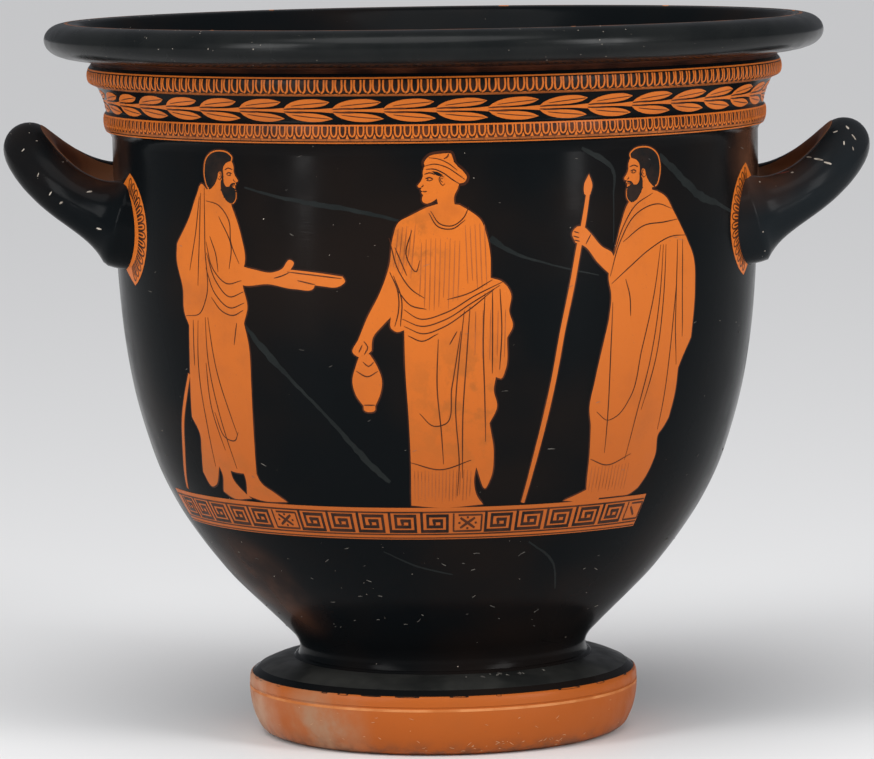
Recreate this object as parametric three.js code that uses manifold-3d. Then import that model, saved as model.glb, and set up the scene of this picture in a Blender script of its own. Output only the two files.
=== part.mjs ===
// Bell krater: a mixing bowl of fired clay with a thick overhanging lip, two moulded bands at the
// neck, two horizontal loop handles and a disc foot, all one piece.
// Millimetres, +Z up, the painted front towards -Y, handles along X.
import * as THREE from 'three';
import { mergeVertices } from 'three/addons/utils/BufferGeometryUtils.js';
import Module from 'manifold-3d';

// Driving dimensions
const height = 400; // base of the foot to the crest of the lip
const lipRadius = 217;
const ledgeRadius = 193.6; // egg band under the lip
const neckRadius = 183.4; // narrowest place of the concave neck
const bandRadius = 184.5; // lower moulding
const shoulderRadius = 180.2; // wall just under the lower moulding
const stemRadius = 80.8;
const footRadius = 109.1;
const footHeight = 34; // base to the top edge of the foot's rounded side
const ringInner = 88.5; // flat standing ring
const ringOuter = 96.5;
const wall = 8; // thickness of the bowl
const floorHeight = 60; // inside floor of the bowl
const underHeight = 50; // top of the hollow under the foot
const segments = 56; // facets round the axis

const handleRod = 14.2; // radius of the handle's rod
const handleFlare = 12.6; // how much wider the rod is where it meets the wall
const flareLength = 9; // how fast the flare dies away
const handleSpread = 44; // half the distance between the two roots of one handle
// The two handles were shaped by hand and are not quite alike. reach and bend are the centre of
// the rod at the outer bend, root is the height of the roots, lift raises the back root.
const rightHandle = { side: 1, reach: 228.6, bend: 326.5, root: 290, lift: 1.5 };
const leftHandle = { side: -1, reach: 227, bend: 330.5, root: 292, lift: 6 };

// Outer outline, axis to axis: hollow of the foot, foot, stem, bell, neck and lip.
function outerOutline() {
  const underside = [
    [0, underHeight],
    [30, underHeight - 1],
    [56, underHeight - 7],
    [73, underHeight - 18],
    [83, underHeight - 33],
    [ringInner - 1, 3],
    [ringInner, 0],
  ];
  const foot = [
    [ringOuter, 0],
    [footRadius - 7.4, 2.4],
    [footRadius - 3.6, 8.5],
    [footRadius - 1.2, 16],
    [footRadius, 25],
    [footRadius - 0.6, footHeight - 1.4],
    [footRadius - 2, footHeight],
    [footRadius - 5.6, footHeight + 2.8],
    [footRadius - 12, footHeight + 5.3],
    [stemRadius + 5.2, footHeight + 7.9],
    [stemRadius + 4, footHeight + 9.5],
    [stemRadius + 1, footHeight + 11],
  ];
  const bell = [
    [stemRadius, 49],
    [88.3, 60],
    [98.1, 70],
    [108.3, 80],
    [118, 90],
    [126.3, 100],
    [133.9, 110],
    [147, 130],
    [156.9, 150],
    [163.8, 170],
    [169.3, 190],
    [174.7, 220],
    [178.4, 260],
    [shoulderRadius - 0.4, 300],
    [shoulderRadius, height - 63.5],
  ];
  const neck = [
    [bandRadius - 2.4, height - 61],
    [bandRadius - 0.2, height - 58],
    [bandRadius, height - 54],
    [neckRadius, height - 50],
    [neckRadius + 0.4, height - 47],
    [neckRadius + 2, height - 42],
    [ledgeRadius - 5.6, height - 36],
    [ledgeRadius - 1.8, height - 34],
    [ledgeRadius, height - 30],
    [ledgeRadius - 0.9, height - 24],
    [ledgeRadius - 2.6, height - 22.8],
    [ledgeRadius - 2.2, height - 21],
  ];
  const lip = [
    [lipRadius - 13, height - 19.2],
    [lipRadius - 4, height - 16],
    [lipRadius - 0.6, height - 12],
    [lipRadius, height - 9],
    [lipRadius - 3.4, height - 3.8],
    [lipRadius - 8, height - 0.9],
    [lipRadius - 13, height],
    [lipRadius - 17.5, height - 0.7],
  ];
  return [...underside, ...foot, ...bell, ...neck, ...lip, [0, height - 0.7]];
}

// Inside of the bowl, taken away from the solid; it runs above the lip so the mouth is open.
function insideOutline() {
  return [
    [0, floorHeight],
    [40, floorHeight + 1],
    [66, floorHeight + 4],
    [82, 66.5],
    [101, 84.5],
    [120.4, 105.6],
    [139.8, 134],
    [156 - wall / 8, 172],
    [161.4, 191.7],
    [166.8, 221],
    [170.4, 260],
    [shoulderRadius - wall, 310],
    [neckRadius - wall, height - 50],
    [neckRadius - wall + 3.4, height - 36],
    [ledgeRadius - 10, height - 24],
    [ledgeRadius - 1.4, height - 9],
    [lipRadius - 20.5, height - 3.5],
    [lipRadius - 17.5, height - 0.7],
    [lipRadius - 12, height + 4],
    [0, height + 4],
  ];
}

// Spins an outline of [radius, height] round the Z axis.
function spin(outline) {
  const points = outline.map(([r, z]) => new THREE.Vector2(r, z));
  const geometry = new THREE.LatheGeometry(points, segments);
  geometry.rotateX(Math.PI / 2);
  return geometry;
}

// One loop handle: a round rod that leaves the wall at one root, rises outwards, bends round and
// comes back to the other root. It flares like a trumpet at both roots.
function handle({ side, reach, bend, root, lift }) {
  // Each limb from inside the wall to the bend: distance short of the reach, distance across,
  // share of the rise.
  const limb = [
    [78, handleSpread + 2, -0.1],
    [56, handleSpread, 0],
    [38, handleSpread - 1, 0.18],
    [22, handleSpread - 6, 0.42],
    [10, handleSpread - 16, 0.68],
    [2.2, handleSpread - 30, 0.91],
  ];
  const rise = bend - root;
  const front = limb.map(([short, across, share]) => (
    new THREE.Vector3(reach - short, -across * side, root + share * rise)
  ));
  const back = limb.map(([short, across, share]) => (
    new THREE.Vector3(reach - short, across * side, root + share * rise + lift * (1 - share))
  ));
  const points = [...front, new THREE.Vector3(reach, 0, bend), ...back.reverse()];
  const path = new THREE.CatmullRomCurve3(points, false, 'centripetal');
  const steps = 30;
  const sides = 16;
  const positions = [];
  const index = [];
  for (let i = 0; i <= steps; i += 1) {
    const centre = path.getPointAt(i / steps);
    const along = path.getTangentAt(i / steps);
    const across = new THREE.Vector3(0, 0, 1).cross(along).normalize();
    const up = along.clone().cross(across).normalize();
    const fromWall = Math.max(Math.hypot(centre.x, centre.y) - shoulderRadius, 0);
    const radius = handleRod + handleFlare * Math.exp(-fromWall / flareLength);
    for (let j = 0; j < sides; j += 1) {
      const turn = (2 * Math.PI * j) / sides;
      const point = centre.clone()
        .addScaledVector(across, radius * Math.cos(turn))
        .addScaledVector(up, radius * Math.sin(turn));
      positions.push(point.x * side, point.y * side, point.z);
    }
  }
  const ends = [path.getPointAt(0), path.getPointAt(1)];
  for (const end of ends) {
    positions.push(end.x * side, end.y * side, end.z);
  }
  for (let i = 0; i < steps; i += 1) {
    for (let j = 0; j < sides; j += 1) {
      const a = i * sides + j;
      const b = i * sides + ((j + 1) % sides);
      const c = a + sides;
      const d = b + sides;
      index.push(a, b, d, a, d, c);
    }
  }
  const last = (steps + 1) * sides;
  for (let j = 0; j < sides; j += 1) {
    const k = (j + 1) % sides;
    index.push(last, k, j);
    index.push(last + 1, steps * sides + j, steps * sides + k);
  }
  const geometry = new THREE.BufferGeometry();
  geometry.setAttribute('position', new THREE.Float32BufferAttribute(positions, 3));
  geometry.setIndex(index);
  return geometry;
}

const wasm = await Module();
wasm.setup();

// Hands a closed geometry to the boolean library, turned outward if it came inside out.
function solid(geometry) {
  let bare = new THREE.BufferGeometry();
  bare.setAttribute('position', geometry.getAttribute('position'));
  if (geometry.index) bare.setIndex(geometry.index);
  bare = mergeVertices(bare, 1e-4);
  const corners = bare.getAttribute('position').array;
  const triangles = [];
  let volume = 0;
  for (let i = 0; i < bare.index.count; i += 3) {
    const [a, b, c] = [0, 1, 2].map((k) => bare.index.getX(i + k));
    if (a === b || b === c || a === c) continue;
    const [p, q, r] = [a, b, c].map((k) => new THREE.Vector3().fromArray(corners, 3 * k));
    volume += p.dot(q.cross(r));
    triangles.push(a, b, c);
  }
  if (volume < 0) {
    for (let i = 0; i < triangles.length; i += 3) {
      [triangles[i + 1], triangles[i + 2]] = [triangles[i + 2], triangles[i + 1]];
    }
  }
  const mesh = new wasm.Mesh({
    numProp: 3,
    vertProperties: new Float32Array(corners),
    triVerts: new Uint32Array(triangles),
  });
  return new wasm.Manifold(mesh);
}

function geometryOf(body) {
  const mesh = body.getMesh();
  const geometry = new THREE.BufferGeometry();
  geometry.setAttribute('position', new THREE.Float32BufferAttribute(mesh.vertProperties, 3));
  geometry.setIndex(new THREE.Uint32BufferAttribute(mesh.triVerts, 1));
  geometry.computeVertexNormals();
  return geometry;
}

const clay = new THREE.MeshStandardMaterial({ name: 'glazed clay', color: 0x2a2c2b, roughness: 0.35 });

const pot = solid(spin(outerOutline()));
const inside = solid(spin(insideOutline()));
const withHandles = pot.add(solid(handle(rightHandle))).add(solid(handle(leftHandle)));
const krater = new THREE.Mesh(geometryOf(withHandles.subtract(inside)), clay);
krater.name = 'krater';

const group = new THREE.Group();
group.name = 'bell_krater';
group.add(krater);

export default group;
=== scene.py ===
# Red-figure bell krater: bowl, handles, ornament bands, painted figures, wear, camera and light.
# Sizes are millimetres, but colours are placed, and lights and camera stand, in metres. A place
# on the wall is (round, up): round runs along the wall from the middle of the front, as if the
# wall had wrapRadius at every height.
import math
import random

import bmesh
import bpy
import numpy as np
from mathutils import Matrix, Vector
from mathutils.geometry import delaunay_2d_cdt


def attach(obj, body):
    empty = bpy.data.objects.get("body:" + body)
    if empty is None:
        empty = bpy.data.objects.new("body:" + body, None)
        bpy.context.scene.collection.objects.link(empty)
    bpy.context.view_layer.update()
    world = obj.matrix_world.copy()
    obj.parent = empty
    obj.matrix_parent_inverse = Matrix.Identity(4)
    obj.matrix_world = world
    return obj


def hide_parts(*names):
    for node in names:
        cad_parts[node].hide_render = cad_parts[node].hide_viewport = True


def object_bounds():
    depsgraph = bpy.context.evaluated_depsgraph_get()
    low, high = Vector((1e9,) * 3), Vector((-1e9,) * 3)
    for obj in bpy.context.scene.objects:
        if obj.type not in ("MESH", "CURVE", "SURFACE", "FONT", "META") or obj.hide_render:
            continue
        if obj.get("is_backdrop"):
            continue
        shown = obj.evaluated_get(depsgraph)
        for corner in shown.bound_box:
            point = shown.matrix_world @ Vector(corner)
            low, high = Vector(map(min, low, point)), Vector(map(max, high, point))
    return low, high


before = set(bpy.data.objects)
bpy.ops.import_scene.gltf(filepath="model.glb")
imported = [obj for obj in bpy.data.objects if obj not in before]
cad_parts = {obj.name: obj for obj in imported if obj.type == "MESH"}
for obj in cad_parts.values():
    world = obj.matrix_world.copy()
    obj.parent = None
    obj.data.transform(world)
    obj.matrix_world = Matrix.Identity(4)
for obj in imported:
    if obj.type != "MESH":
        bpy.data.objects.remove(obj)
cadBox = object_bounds()
mm = 0.001
wrapRadius = 178.0
print("frame loaded")


# smooth line through the points, with a point about every step
def smoothLine(points, step):
    knots = [Vector(p) for p in points]
    gaps = [max((b - a).length, 1e-6) for a, b in zip(knots, knots[1:])]
    slopes = []
    for i, knot in enumerate(knots):
        if i == 0:
            slopes.append((knots[1] - knot) / gaps[0])
        elif i == len(knots) - 1:
            slopes.append((knot - knots[i - 1]) / gaps[-1])
        else:
            before = (knot - knots[i - 1]) / gaps[i - 1]
            after = (knots[i + 1] - knot) / gaps[i]
            slopes.append((before * gaps[i] + after * gaps[i - 1]) / (gaps[i] + gaps[i - 1]))
    line = [knots[0]]
    for i, gap in enumerate(gaps):
        count = max(1, math.ceil(gap / step))
        for k in range(1, count + 1):
            t = k / count
            line.append(
                knots[i] * (2 * t**3 - 3 * t**2 + 1)
                + slopes[i] * gap * (t**3 - 2 * t**2 + t)
                + knots[i + 1] * (3 * t**2 - 2 * t**3)
                + slopes[i + 1] * gap * (t**3 - t**2)
            )
    return line


def meshObject(name, vertices, faces):
    mesh = bpy.data.meshes.new(name)
    mesh.from_pydata([tuple(v) for v in vertices], [], faces)
    mesh.update()
    piece = bpy.data.objects.new(name, mesh)
    bpy.context.collection.objects.link(piece)
    return piece


# a row of points joined by edges, for the node trees to work along
def lineObject(name, points, closed=False):
    count = len(points)
    edges = [(i, (i + 1) % count) for i in range(count if closed else count - 1)]
    mesh = bpy.data.meshes.new(name)
    mesh.from_pydata([tuple(p) for p in points], edges, [])
    line = bpy.data.objects.new(name, mesh)
    bpy.context.collection.objects.link(line)
    return line


# turns the faces outwards and marks what is flat or smooth
def tidyMesh(piece, smoothAngle=35):
    work = bmesh.new()
    work.from_mesh(piece.data)
    bmesh.ops.recalc_face_normals(work, faces=work.faces)
    for face in work.faces:
        face.smooth = True
    for edge in work.edges:
        edge.smooth = len(edge.link_faces) == 2 and edge.calc_face_angle(0) < math.radians(smoothAngle)
    work.to_mesh(piece.data)
    work.free()


# makes the geometry-nodes result a plain mesh and drops the modifier
def freeze(piece):
    graph = bpy.context.evaluated_depsgraph_get()
    graph.update()
    done = bpy.data.meshes.new_from_object(piece.evaluated_get(graph))
    piece.modifiers.clear()
    paint = [m for m in done.materials if m][-1]
    done.materials.clear()
    done.materials.append(paint)
    done.polygons.foreach_set("material_index", [0] * len(done.polygons))
    old = piece.data
    piece.data = done
    bpy.data.meshes.remove(old)


def addNode(tree, kind, **settings):
    node = tree.nodes.new(kind)
    for key, value in settings.items():
        setattr(node, key, value)
    return node


def mathNode(tree, operation, first, second=None):
    node = addNode(tree, "ShaderNodeMath", operation=operation)
    for socket, value in ((0, first), (1, second)):
        if value is None:
            continue
        if isinstance(value, (int, float)):
            node.inputs[socket].default_value = value
        else:
            tree.links.new(value, node.inputs[socket])
    return node.outputs[0]


def newTree(name, inputs):
    tree = bpy.data.node_groups.new(name, "GeometryNodeTree")
    tree.interface.new_socket("Geometry", in_out="INPUT", socket_type="NodeSocketGeometry")
    for label, kind in inputs:
        tree.interface.new_socket(label, in_out="INPUT", socket_type=kind)
    tree.interface.new_socket("Geometry", in_out="OUTPUT", socket_type="NodeSocketGeometry")
    start = addNode(tree, "NodeGroupInput")
    end = addNode(tree, "NodeGroupOutput")
    return tree, start, end


def finishTree(tree, start, end, geometry):
    realize = addNode(tree, "GeometryNodeRealizeInstances")
    paint = addNode(tree, "GeometryNodeSetMaterial")
    tree.links.new(geometry, realize.inputs["Geometry"])
    tree.links.new(realize.outputs["Geometry"], paint.inputs["Geometry"])
    tree.links.new(start.outputs["Material"], paint.inputs["Material"])
    tree.links.new(paint.outputs["Geometry"], end.inputs["Geometry"])


def useTree(piece, tree, values):
    modifier = piece.modifiers.new(tree.name, "NODES")
    modifier.node_group = tree
    for item in tree.interface.items_tree:
        if item.in_out == "INPUT" and item.name in values:
            modifier[item.identifier] = values[item.name]


# spins an outline, given as a line of vertices (radius, 0, height), round the upright axis
def makeSpinTree():
    inputs = [("Segments", "NodeSocketInt"), ("Material", "NodeSocketMaterial")]
    tree, start, end = newTree("Spin outline", inputs)
    link = tree.links.new
    size = addNode(tree, "GeometryNodeAttributeDomainSize", component="MESH")
    link(start.outputs["Geometry"], size.inputs["Geometry"])
    across = mathNode(tree, "ADD", start.outputs["Segments"], 1)
    grid = addNode(tree, "GeometryNodeMeshGrid")
    link(size.outputs["Point Count"], grid.inputs["Vertices X"])
    link(across, grid.inputs["Vertices Y"])
    index = addNode(tree, "GeometryNodeInputIndex")
    halfOn = mathNode(tree, "ADD", index.outputs[0], 0.5)
    row = mathNode(tree, "FLOOR", mathNode(tree, "DIVIDE", halfOn, across))
    column = mathNode(tree, "SUBTRACT", index.outputs[0], mathNode(tree, "MULTIPLY", row, across))
    sample = addNode(tree, "GeometryNodeSampleIndex", data_type="FLOAT_VECTOR")
    place = addNode(tree, "GeometryNodeInputPosition")
    link(start.outputs["Geometry"], sample.inputs["Geometry"])
    link(place.outputs[0], sample.inputs["Value"])
    link(row, sample.inputs["Index"])
    parts = addNode(tree, "ShaderNodeSeparateXYZ")
    link(sample.outputs[0], parts.inputs[0])
    share = mathNode(tree, "DIVIDE", column, start.outputs["Segments"])
    turn = mathNode(tree, "MULTIPLY", share, 2 * math.pi)
    spot = addNode(tree, "ShaderNodeCombineXYZ")
    link(mathNode(tree, "MULTIPLY", parts.outputs["X"], mathNode(tree, "COSINE", turn)), spot.inputs["X"])
    link(mathNode(tree, "MULTIPLY", parts.outputs["X"], mathNode(tree, "SINE", turn)), spot.inputs["Y"])
    link(parts.outputs["Z"], spot.inputs["Z"])
    move = addNode(tree, "GeometryNodeSetPosition")
    link(grid.outputs["Mesh"], move.inputs["Geometry"])
    link(spot.outputs[0], move.inputs["Position"])
    store = addNode(tree, "GeometryNodeStoreNamedAttribute", data_type="FLOAT2", domain="CORNER")
    store.inputs["Name"].default_value = "OFBake"
    link(move.outputs[0], store.inputs["Geometry"])
    link(grid.outputs["UV Map"], store.inputs["Value"])
    merge = addNode(tree, "GeometryNodeMergeByDistance")
    merge.inputs["Distance"].default_value = 0.000004
    link(store.outputs[0], merge.inputs["Geometry"])
    finishTree(tree, start, end, merge.outputs[0])
    return tree


# repeats a flat motif: each copy is moved on by Shift, and shaken a little by Wobble
def makeRepeatTree():
    tree, start, end = newTree(
        "Repeat motif",
        [
            ("Motif", "NodeSocketObject"),
            ("Count", "NodeSocketInt"),
            ("Start", "NodeSocketVector"),
            ("Shift", "NodeSocketVector"),
            ("Wobble", "NodeSocketFloat"),
            ("Seed", "NodeSocketInt"),
            ("Material", "NodeSocketMaterial"),
        ],
    )
    link = tree.links.new
    index = addNode(tree, "GeometryNodeInputIndex")
    points = addNode(tree, "GeometryNodePoints")
    link(start.outputs["Count"], points.inputs["Count"])
    steps = addNode(tree, "ShaderNodeVectorMath", operation="SCALE")
    link(start.outputs["Shift"], steps.inputs[0])
    link(index.outputs[0], steps.inputs["Scale"])
    whole = addNode(tree, "ShaderNodeVectorMath", operation="ADD")
    link(start.outputs["Start"], whole.inputs[0])
    link(steps.outputs[0], whole.inputs[1])
    chance = addNode(tree, "FunctionNodeRandomValue", data_type="FLOAT_VECTOR")
    chance.inputs["Min"].default_value = (-1, 0, -0.4)
    chance.inputs["Max"].default_value = (1, 0, 0.4)
    link(start.outputs["Seed"], chance.inputs["Seed"])
    shake = addNode(tree, "ShaderNodeVectorMath", operation="SCALE")
    link(chance.outputs[0], shake.inputs[0])
    link(start.outputs["Wobble"], shake.inputs["Scale"])
    spot = addNode(tree, "ShaderNodeVectorMath", operation="ADD")
    link(whole.outputs[0], spot.inputs[0])
    link(shake.outputs[0], spot.inputs[1])
    link(spot.outputs[0], points.inputs["Position"])
    source = addNode(tree, "GeometryNodeObjectInfo")
    link(start.outputs["Motif"], source.inputs["Object"])
    copies = addNode(tree, "GeometryNodeInstanceOnPoints")
    link(points.outputs[0], copies.inputs["Points"])
    link(source.outputs["Geometry"], copies.inputs["Instance"])
    finishTree(tree, start, end, copies.outputs[0])
    return tree


# sweeps a flat closed section along a path whose vertices carry their own rodSize
def makeSweepTree():
    inputs = [("Section", "NodeSocketObject"), ("Material", "NodeSocketMaterial")]
    tree, start, end = newTree("Sweep section", inputs)
    link = tree.links.new
    path = addNode(tree, "GeometryNodeMeshToCurve")
    link(start.outputs["Geometry"], path.inputs["Mesh"])
    upright = addNode(tree, "GeometryNodeSetCurveNormal")
    upright.mode = "Z_UP"
    link(path.outputs[0], upright.inputs[0])
    size = addNode(tree, "GeometryNodeInputNamedAttribute", data_type="FLOAT")
    size.inputs["Name"].default_value = "rodSize"
    source = addNode(tree, "GeometryNodeObjectInfo")
    link(start.outputs["Section"], source.inputs["Object"])
    section = addNode(tree, "GeometryNodeMeshToCurve")
    link(source.outputs["Geometry"], section.inputs["Mesh"])
    sweep = addNode(tree, "GeometryNodeCurveToMesh")
    sweep.inputs["Fill Caps"].default_value = True
    link(upright.outputs[0], sweep.inputs["Curve"])
    link(section.outputs[0], sweep.inputs["Profile Curve"])
    link(size.outputs["Attribute"], sweep.inputs["Scale"])
    finishTree(tree, start, end, sweep.outputs[0])
    return tree


spinTree = makeSpinTree()
repeatTree = makeRepeatTree()
sweepTree = makeSweepTree()


# materials: what a user would change is in each dictionary
gloss = {
    "black": (0.0036, 0.0045, 0.0052),
    "brown": (0.0092, 0.0066, 0.0056),
    "misfired": (0.085, 0.036, 0.02),
    "misfiredAt": [
        ((-0.095, -0.06, 0.095), 0.05),
        ((0.172, -0.05, 0.33), 0.045),
        ((-0.176, -0.035, 0.33), 0.04),
    ],
    "roughness": (0.15, 0.27),
    "ior": 1.085,
}
clay = {
    "top": (0.5, 0.122, 0.014),
    "bottom": (0.37, 0.086, 0.012),
    "cloud": (0.33, 0.084, 0.015),
    "dust": [
        ((-0.105, -0.02, 0.018), 0.055, (0.42, 0.24, 0.15)),
        ((-0.07, -0.085, 0.01), 0.04, (0.3, 0.17, 0.1)),
    ],
    "smudges": [
        ((0.02, -0.17, 0.2), 0.055),
        ((-0.014, -0.178, 0.285), 0.03),
        ((-0.13, -0.12, 0.135), 0.06),
    ],
    "smudge": (0.3, 0.085, 0.014),
    "dirt": (0.12, 0.05, 0.025),
    "bottomHeight": 0.12,
    "topHeight": 0.3,
    "roughness": (0.36, 0.52),
}


def newMaterial(name):
    made = bpy.data.materials.new(name)
    made.use_nodes = True
    return made, made.node_tree, made.node_tree.nodes["Principled BSDF"]


def noiseNode(tree, scale, detail=4, roughness=0.55, stretch=None):
    spot = addNode(tree, "ShaderNodeTexCoord")
    noise = addNode(tree, "ShaderNodeTexNoise")
    noise.inputs["Scale"].default_value = scale
    noise.inputs["Detail"].default_value = detail
    noise.inputs["Roughness"].default_value = roughness
    if stretch:
        squeeze = addNode(tree, "ShaderNodeMapping")
        squeeze.inputs["Scale"].default_value = stretch
        tree.links.new(spot.outputs["Object"], squeeze.inputs["Vector"])
        tree.links.new(squeeze.outputs[0], noise.inputs["Vector"])
    else:
        tree.links.new(spot.outputs["Object"], noise.inputs["Vector"])
    return noise.outputs["Fac"]


def rangeNode(tree, value, low, high, newLow, newHigh):
    node = addNode(tree, "ShaderNodeMapRange", interpolation_type="SMOOTHSTEP")
    node.inputs["From Min"].default_value = low
    node.inputs["From Max"].default_value = high
    node.inputs["To Min"].default_value = newLow
    node.inputs["To Max"].default_value = newHigh
    tree.links.new(value, node.inputs["Value"])
    return node.outputs[0]


def mixColour(tree, amount, first, second):
    node = addNode(tree, "ShaderNodeMix", data_type="RGBA")
    for socket, value in ((node.inputs[6], first), (node.inputs[7], second)):
        if isinstance(value, tuple):
            socket.default_value = (*value, 1)
        else:
            tree.links.new(value, socket)
    tree.links.new(amount, node.inputs[0])
    return node.outputs[2]


# how near a place is to a spot on the pot, 1 at its middle and 0 beyond its reach
def nearNode(tree, spot, reach):
    coords = addNode(tree, "ShaderNodeTexCoord")
    away = addNode(tree, "ShaderNodeVectorMath", operation="DISTANCE")
    away.inputs[1].default_value = spot
    tree.links.new(coords.outputs["Object"], away.inputs[0])
    return rangeNode(tree, away.outputs["Value"], 0.15 * reach, reach, 1, 0)


def bumpNode(tree, height, strength, distance):
    node = addNode(tree, "ShaderNodeBump")
    node.inputs["Strength"].default_value = strength
    node.inputs["Distance"].default_value = distance
    tree.links.new(height, node.inputs["Height"])
    return node.outputs["Normal"]


def glossMaterial(name, lighter=1.0):
    made, tree, skin = newMaterial(name)
    cloud = rangeNode(tree, noiseNode(tree, 7, 3), 0.42, 0.72, 0, 1)
    black, brown = (tuple(lighter * c for c in gloss[key]) for key in ("black", "brown"))
    colour = mixColour(tree, cloud, black, brown)
    patchy = noiseNode(tree, 26, 4)
    for spot, reach in gloss["misfiredAt"]:
        near = nearNode(tree, spot, reach)
        amount = mathNode(tree, "MULTIPLY", near, rangeNode(tree, patchy, 0.3, 0.7, 0.15, 1))
        colour = mixColour(tree, amount, colour, gloss["misfired"])
    tree.links.new(colour, skin.inputs["Base Color"])
    rough = rangeNode(tree, noiseNode(tree, 38, 5), 0.35, 0.7, gloss["roughness"][0], gloss["roughness"][1])
    tree.links.new(rough, skin.inputs["Roughness"])
    skin.inputs["IOR"].default_value = gloss["ior"]
    wheel = noiseNode(tree, 60, 3, 0.6, (1, 1, 9))
    tree.links.new(bumpNode(tree, wheel, 0.05, 0.0006), skin.inputs["Normal"])
    return made


def clayMaterial(name, tint=1.0, rough=1.0, dusty=False):
    made, tree, skin = newMaterial(name)
    coords = addNode(tree, "ShaderNodeTexCoord")
    parts = addNode(tree, "ShaderNodeSeparateXYZ")
    tree.links.new(coords.outputs["Object"], parts.inputs[0])
    # the clay is darker towards the bottom, by height alone
    height = rangeNode(tree, parts.outputs["Z"], clay["bottomHeight"], clay["topHeight"], 0, 1)
    low = tuple(tint * c for c in clay["bottom"])
    high = tuple(tint * c for c in clay["top"])
    colour = mixColour(tree, height, low, high)
    cloud = rangeNode(tree, noiseNode(tree, 22, 5, 0.6), 0.5, 0.78, 0, 0.75)
    colour = mixColour(tree, cloud, colour, tuple(tint * c for c in clay["cloud"]))
    speck = rangeNode(tree, noiseNode(tree, 900, 2), 0.66, 0.76, 0, 0.45)
    colour = mixColour(tree, speck, colour, (0.2, 0.07, 0.03))
    patchy = rangeNode(tree, noiseNode(tree, 95, 5, 0.65), 0.45, 0.62, 0, 0.75)
    for spot, reach in clay["smudges"]:
        amount = mathNode(tree, "MULTIPLY", nearNode(tree, spot, reach), patchy)
        colour = mixColour(tree, amount, colour, clay["smudge"])
    if dusty:
        for spot, reach, dust in clay["dust"]:
            grime = rangeNode(tree, noiseNode(tree, 45, 5, 0.65), 0.3, 0.68, 0.2, 1)
            amount = mathNode(tree, "MULTIPLY", nearNode(tree, spot, reach), grime)
            colour = mixColour(tree, amount, colour, dust)
        bottom = rangeNode(tree, parts.outputs["Z"], 0.0, 0.011, 0.75, 0)
        grime = rangeNode(tree, noiseNode(tree, 120, 4), 0.35, 0.6, 0, 1)
        colour = mixColour(tree, mathNode(tree, "MULTIPLY", bottom, grime), colour, clay["dirt"])
    tree.links.new(colour, skin.inputs["Base Color"])
    roughness = rangeNode(tree, noiseNode(tree, 70, 4), 0.35, 0.7, *[rough * c for c in clay["roughness"]])
    tree.links.new(roughness, skin.inputs["Roughness"])
    skin.inputs["IOR"].default_value = 1.22
    grain = noiseNode(tree, 420, 3)
    tree.links.new(bumpNode(tree, grain, 0.1, 0.0004), skin.inputs["Normal"])
    return made


# thin paint: relief lines, dilute washes, crack fills, dirt and chips, and some painted shade, sheen and
# highlights
def paintMaterial(name, colour, other, roughness, scale=60):
    made, tree, skin = newMaterial(name)
    cloud = rangeNode(tree, noiseNode(tree, scale, 4), 0.35, 0.65, 0, 1)
    tree.links.new(mixColour(tree, cloud, colour, other), skin.inputs["Base Color"])
    rough = rangeNode(tree, noiseNode(tree, 3 * scale, 3), 0.3, 0.7, 0.85 * roughness, 1.15 * roughness)
    tree.links.new(rough, skin.inputs["Roughness"])
    skin.inputs["IOR"].default_value = 1.18
    return made


blackGloss = glossMaterial("black gloss")
# the right handle's gloss is 2.6 times lighter than the bowl's: partly wear, partly a painted sheen
handleGloss = {
    "right": glossMaterial("right handle gloss", 2.6),
    "left": glossMaterial("left handle gloss", 1.2),
}
reservedClay = clayMaterial("reserved clay")
footClay = clayMaterial("foot clay", 0.9, 1.05, True)
# clay darkened as painted shade, for the inner sides of the handles and the wall between their roots
shadedHandleClay = paintMaterial(
    "clay in the shade of the handles", (0.13, 0.06, 0.036), (0.21, 0.085, 0.04), 0.6, 40
)
reliefLine = paintMaterial("relief line", (0.035, 0.012, 0.006), (0.075, 0.022, 0.009), 0.4)
keyLine = paintMaterial("key line", (0.014, 0.007, 0.005), (0.038, 0.014, 0.008), 0.4, 90)
diluteLine = paintMaterial("dilute line", (0.2, 0.055, 0.015), (0.32, 0.09, 0.025), 0.45)
blackPaint = paintMaterial("black on clay", (0.006, 0.006, 0.006), (0.02, 0.011, 0.008), 0.32)
bandGround = paintMaterial("band ground", (0.006, 0.005, 0.004), (0.03, 0.012, 0.007), 0.4, 140)
tongueGround = paintMaterial("tongue ground", (0.02, 0.008, 0.005), (0.09, 0.026, 0.01), 0.45, 120)
paleClay = paintMaterial("pale clay edge", (0.52, 0.2, 0.07), (0.4, 0.12, 0.03), 0.5, 60)
# rougher gloss for wear, with a lighter colour that is a painted sheen
wornGlossSheen = paintMaterial("worn gloss", (0.011, 0.0115, 0.011), (0.026, 0.026, 0.024), 0.33, 30)
crackFill = paintMaterial("crack fill", (0.0062, 0.008, 0.008), (0.0102, 0.0125, 0.0122), 0.45, 40)
tongueStrip = paintMaterial("brown strip", (0.23, 0.065, 0.016), (0.33, 0.095, 0.022), 0.45, 90)
# also used for the ledge and the underside of the lip, where it is painted shade
contourAndLipShade = paintMaterial("brown contour stripe", (0.016, 0.006, 0.004), (0.05, 0.015, 0.007), 0.4, 45)
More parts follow.
